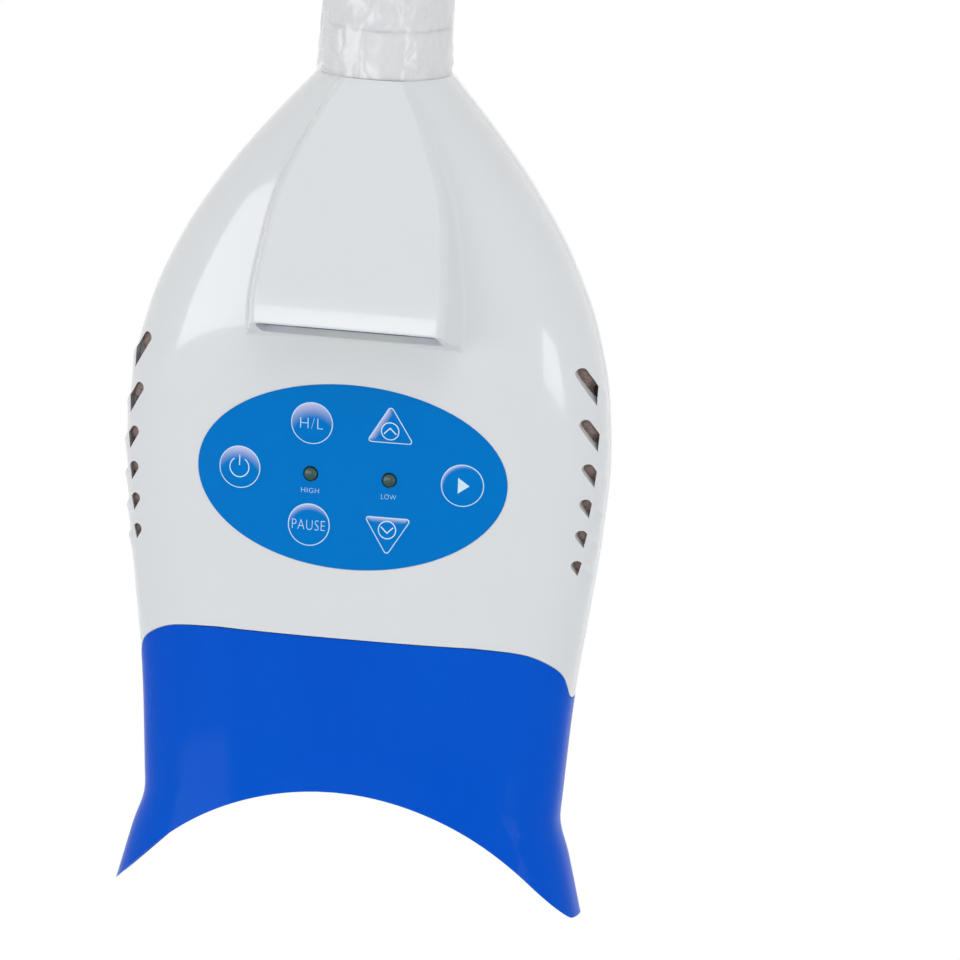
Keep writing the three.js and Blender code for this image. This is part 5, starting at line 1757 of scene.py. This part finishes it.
screw_zinc = zinc_steel("zinc_steel", (206, 208, 210), 0.24)
tube_steel = zinc_steel("turned_tube", (198, 200, 203), 0.2, 0.22)
sink_aluminium = sawn_aluminium("sawn_aluminium", (214, 216, 220), 0.26, (1, 12, 1))
plate_aluminium = sawn_aluminium("rolled_aluminium", (208, 210, 215), 0.3, (14, 1, 1))
mirror_bright = mirror_coat()

# %% Boards
def resist_board(name, resist, track, tin):
    """Solder resist over copper: tracks show as a lighter, raised net, and pads are tinned."""
    finish = Finish(name)
    x, z = along_axis(finish, 0), along_axis(finish, 2)
    cell = finish.node(
        "ShaderNodeTexVoronoi", {"feature": "F1", "distance": "CHEBYCHEV"},
        {"Vector": finish.place, "Scale": 0.34, "Randomness": 0.55}, output="Distance")
    track_mask = (cell > 0.47) * (cell < 0.56)
    wandering = clouds(finish, 7, 2)
    across = ((x + z) % 1.9 < 0.5) * (wandering > 0.54)
    pads = cell < 0.1
    copper = track_mask.worked("MAXIMUM", track_mask, across)
    covered = mixed(finish, copper * 0.75, color(*resist), color(*track))
    return finish.surface_is(
        Base_Color=mixed(finish, pads, covered, color(*tin)),
        Metallic=pads * 0.9,
        Roughness=0.3 + wandering * 0.08 - pads * 0.05,
        Normal=grain(finish, copper * 0.5 + pads, 0.06))


board_green = resist_board("green_resist", (18, 84, 48), (40, 124, 74), (206, 206, 200))
board_white = resist_board("white_resist", (232, 234, 230), (214, 217, 212), (212, 208, 196))

# %% Plastics and cables of the inside
def dull_plastic(name, shade, roughness, size, depth):
    finish = Finish(name)
    spark = clouds(finish, size, 3)
    flow = clouds(finish, 14, 3, seed=5)
    return two_toned(
        finish, flow * 0.8, shade, darker(shade, 10), roughness + spark * 0.15, spark, depth)


def flat_cable():
    """A ribbon of side-by-side leads, with one edge lead marked."""
    finish = Finish("flat_cable")
    x = along_axis(finish, 0)
    lead = (x % 1.0) - 0.5
    marked = x < -4
    round_top = 1 - lead * lead * 4
    dust = clouds(finish, 4, 3)
    plain = mixed(finish, dust * 0.6, color(196, 198, 203), color(176, 178, 184))
    return finish.surface_is(
        Base_Color=mixed(finish, marked, plain, color(178, 60, 62)),
        Roughness=0.42 + dust * 0.1,
        Normal=grain(finish, round_top, 0.3))


def clear_plate():
    finish = Finish("clear_plate")
    haze = clouds(finish, 18, 3)
    return finish.surface_is(
        Base_Color=color(226, 236, 246),
        Roughness=0.05 + haze * 0.06,
        Alpha=0.2 + haze * 0.1,
        Normal=grain(finish, haze, 0.03),
        Coat_Weight=1.0, Coat_Roughness=0.03)


black_moulding = dull_plastic("black_moulding", (38, 38, 41), 0.34, 0.4, 0.02)
display_black = dull_plastic("display_black", (30, 31, 34), 0.28, 0.3, 0.012)
cable_black = dull_plastic("cable_jacket", (32, 32, 35), 0.4, 0.8, 0.03)
nylon_grey = dull_plastic("natural_nylon", (178, 180, 182), 0.38, 0.6, 0.02)
ribbon_grey = flat_cable()
lens_clear = clear_plate()

# %% Dress every piece
def dress(thing, material):
    thing.data.materials.clear()
    thing.data.materials.append(material)


for things, material in (
        ((front_housing, rear_housing), housing_white), ((sleeve, collar), neck_white_painted_lighter),
        (pads.values(), key_blue), (signs, print_white), (leds.values(), lens_green),
        (foams, brown_foam_with_painted_glow), (screws, screw_zinc), ((face_shield,), shield_blue),
        ((membrane,), panel_blue), ((bezel,), frame_navy), ((window,), window_smoked),
        ((digits,), digits_lime), ((film,), film_clear), ((tube,), tube_steel)):
    for thing in things:
        dress(thing, material)

INSIDE_FINISHES = {
    "spring_washer": screw_zinc, "lock_nut": screw_zinc, "friction_washer": nylon_grey,
    "display_module": display_black, "display_board": board_green,
    "control_board": board_green, "heat_sink": sink_aluminium, "led_board": board_white,
    "engine_plate": plate_aluminium, "reflector": mirror_bright, "lens_plate": lens_clear,
    "fan_frame": black_moulding, "fan_rotor": black_moulding, "power_cable": cable_black,
    "led_cable": cable_black, "fan_cable": cable_black, "display_ribbon": ribbon_grey,
}
for node in frame["nodes"]:
    if node.startswith(("board_screw", "fan_screw", "engine_screw", "plate_screw")):
        INSIDE_FINISHES[node] = screw_zinc
for node, material in INSIDE_FINISHES.items():
    dress(frame["nodes"][node], material)
print(len(bpy.data.materials), "finishes on the pieces and", len(INSIDE_FINISHES), "inner nodes")

# %% [markdown]
# ## Light, floor and background
# The photograph's soft boxes can be read from the gloss of the housing. One stands to the left
# front. A narrower one to the right front leans, and two more in front light the lip of the hood
# and the sheet below the panel. A light is placed here by the direction it is seen in from the
# lamp and by how wide and how high it looks from there. Four fills that no gloss shows stand for
# the light that a white studio sends back. The lamp hangs over a pale floor, which fades to the
# white backdrop away from the middle. The camera, gloss and glass see white round the lamp, while
# the world lights it at a plain level.

# %% Soft boxes
LIGHT_CENTRE = Vector((0, 0, -0.2))
LIGHT_DISTANCE = 2.4


def direction(azimuth, elevation):
    """From the lamp: azimuth 0 is straight out of the front, and grows to the right."""
    turn, rise = math.radians(azimuth), math.radians(elevation)
    return Vector((
        math.sin(turn) * math.cos(rise), -math.cos(turn) * math.cos(rise), math.sin(rise)))


def soft_box(name, azimuth, elevation, width, height, level, mirrored=True, lean=0):
    """A soft box of an apparent width and height in degrees, as bright as level white papers.

    One that isn't mirrored only fills shadows, like light that comes off the studio's walls. One
    that leans is turned that many degrees about the line to the lamp.
    """
    box = bpy.data.lights.new(name, "AREA")
    box.shape = "RECTANGLE"
    box.size = 2 * LIGHT_DISTANCE * math.tan(math.radians(width / 2))
    box.size_y = 2 * LIGHT_DISTANCE * math.tan(math.radians(height / 2))
    box.energy = level * math.pi * box.size * box.size_y
    light = add_object(name, box)
    light.visible_glossy = mirrored
    away = direction(azimuth, elevation)
    facing = (-away).to_track_quat("-Z", "Y").to_matrix().to_4x4()
    leaning = Matrix.Rotation(math.radians(lean), 4, "Z")
    place = Matrix.Translation(LIGHT_CENTRE + away * LIGHT_DISTANCE)
    light.matrix_world = place @ facing @ leaning
    print(f"{name}: {box.size:.2f} by {box.size_y:.2f} m, {box.energy:.1f} W")


soft_box("left_box", -47, 3, 30, 34, 2.4)
soft_box("right_box", 40, -19, 12, 58, 2.5, lean=-32)
soft_box("front_box", -12, 7, 22, 18, 2.5)
soft_box("low_box", -10, -21, 44, 14, 1.5)
soft_box("low_fill", 10, -42, 60, 24, 1.4, mirrored=False)
soft_box("side_fill", 78, 4, 56, 60, 0.95, mirrored=False)
soft_box("top_fill", 10, 58, 44, 24, 1.7, mirrored=False)
soft_box("back_fill", 170, 20, 60, 50, 0.7, mirrored=False)

# %% Floor
FLOOR_LEVEL = -0.62
FLOOR_RADIUS = 6
FLOOR_FADE = {"From Min": 0.35, "From Max": 1.25}
WORLD_LEVEL = 0.42

floor_disc = moved(disc(FLOOR_RADIUS, 96), Matrix.Translation((0, 0, FLOOR_LEVEL)))
floor = add_object("floor", mesh_from(floor_disc, "floor"))


def seen_directly(recipe):
    """1 for the rays of the camera, of gloss and of glass, and 0 for those that light things."""
    seen = 0
    for kind in ("Camera", "Glossy", "Transmission"):
        ray = recipe.node("ShaderNodeLightPath", output=f"Is {kind} Ray")
        seen = ray.worked("MAXIMUM", ray, seen)
    return seen


def pale_floor():
    finish = Finish("pale_floor")
    x, y = along_axis(finish, 0), along_axis(finish, 1)
    out = (x * x + y * y) ** 0.5 * MM
    fade = finish.node(
        "ShaderNodeMapRange", {"interpolation_type": "SMOOTHSTEP"}, {"Value": out, **FLOOR_FADE})
    cloud = clouds(finish, 240, 2)
    finish.surface_is(
        Base_Color=mixed(finish, cloud, color(240, 241, 243), color(235, 236, 239)),
        Roughness=0.7 + cloud * 0.1)
    glow = finish.node("ShaderNodeEmission", {}, {"Color": (1, 1, 1, 1), "Strength": 1})
    end = finish.node(
        "ShaderNodeMixShader", {},
        {0: fade * seen_directly(finish), 1: Wire(finish, finish.surface.outputs[0]), 2: glow})
    finish.join(end, finish.tree.nodes["Material Output"].inputs["Surface"])
    return finish.material


dress(floor, pale_floor())

# %% World
world = bpy.data.worlds.new("studio")
world.use_nodes = True
bpy.context.scene.world = world


class Sky(Finish):
    """The world's graph, with the same way of adding nodes."""

    def __init__(self, tree):
        self.tree = tree


studio = Sky(world.node_tree)
background = world.node_tree.nodes["Background"]
background.inputs["Color"].default_value = (1, 1, 1, 1)
studio.join(
    seen_directly(studio) * (1 - WORLD_LEVEL) + WORLD_LEVEL, background.inputs["Strength"])
bpy.context.scene.view_settings.view_transform = "Standard"
print("world level", WORLD_LEVEL)
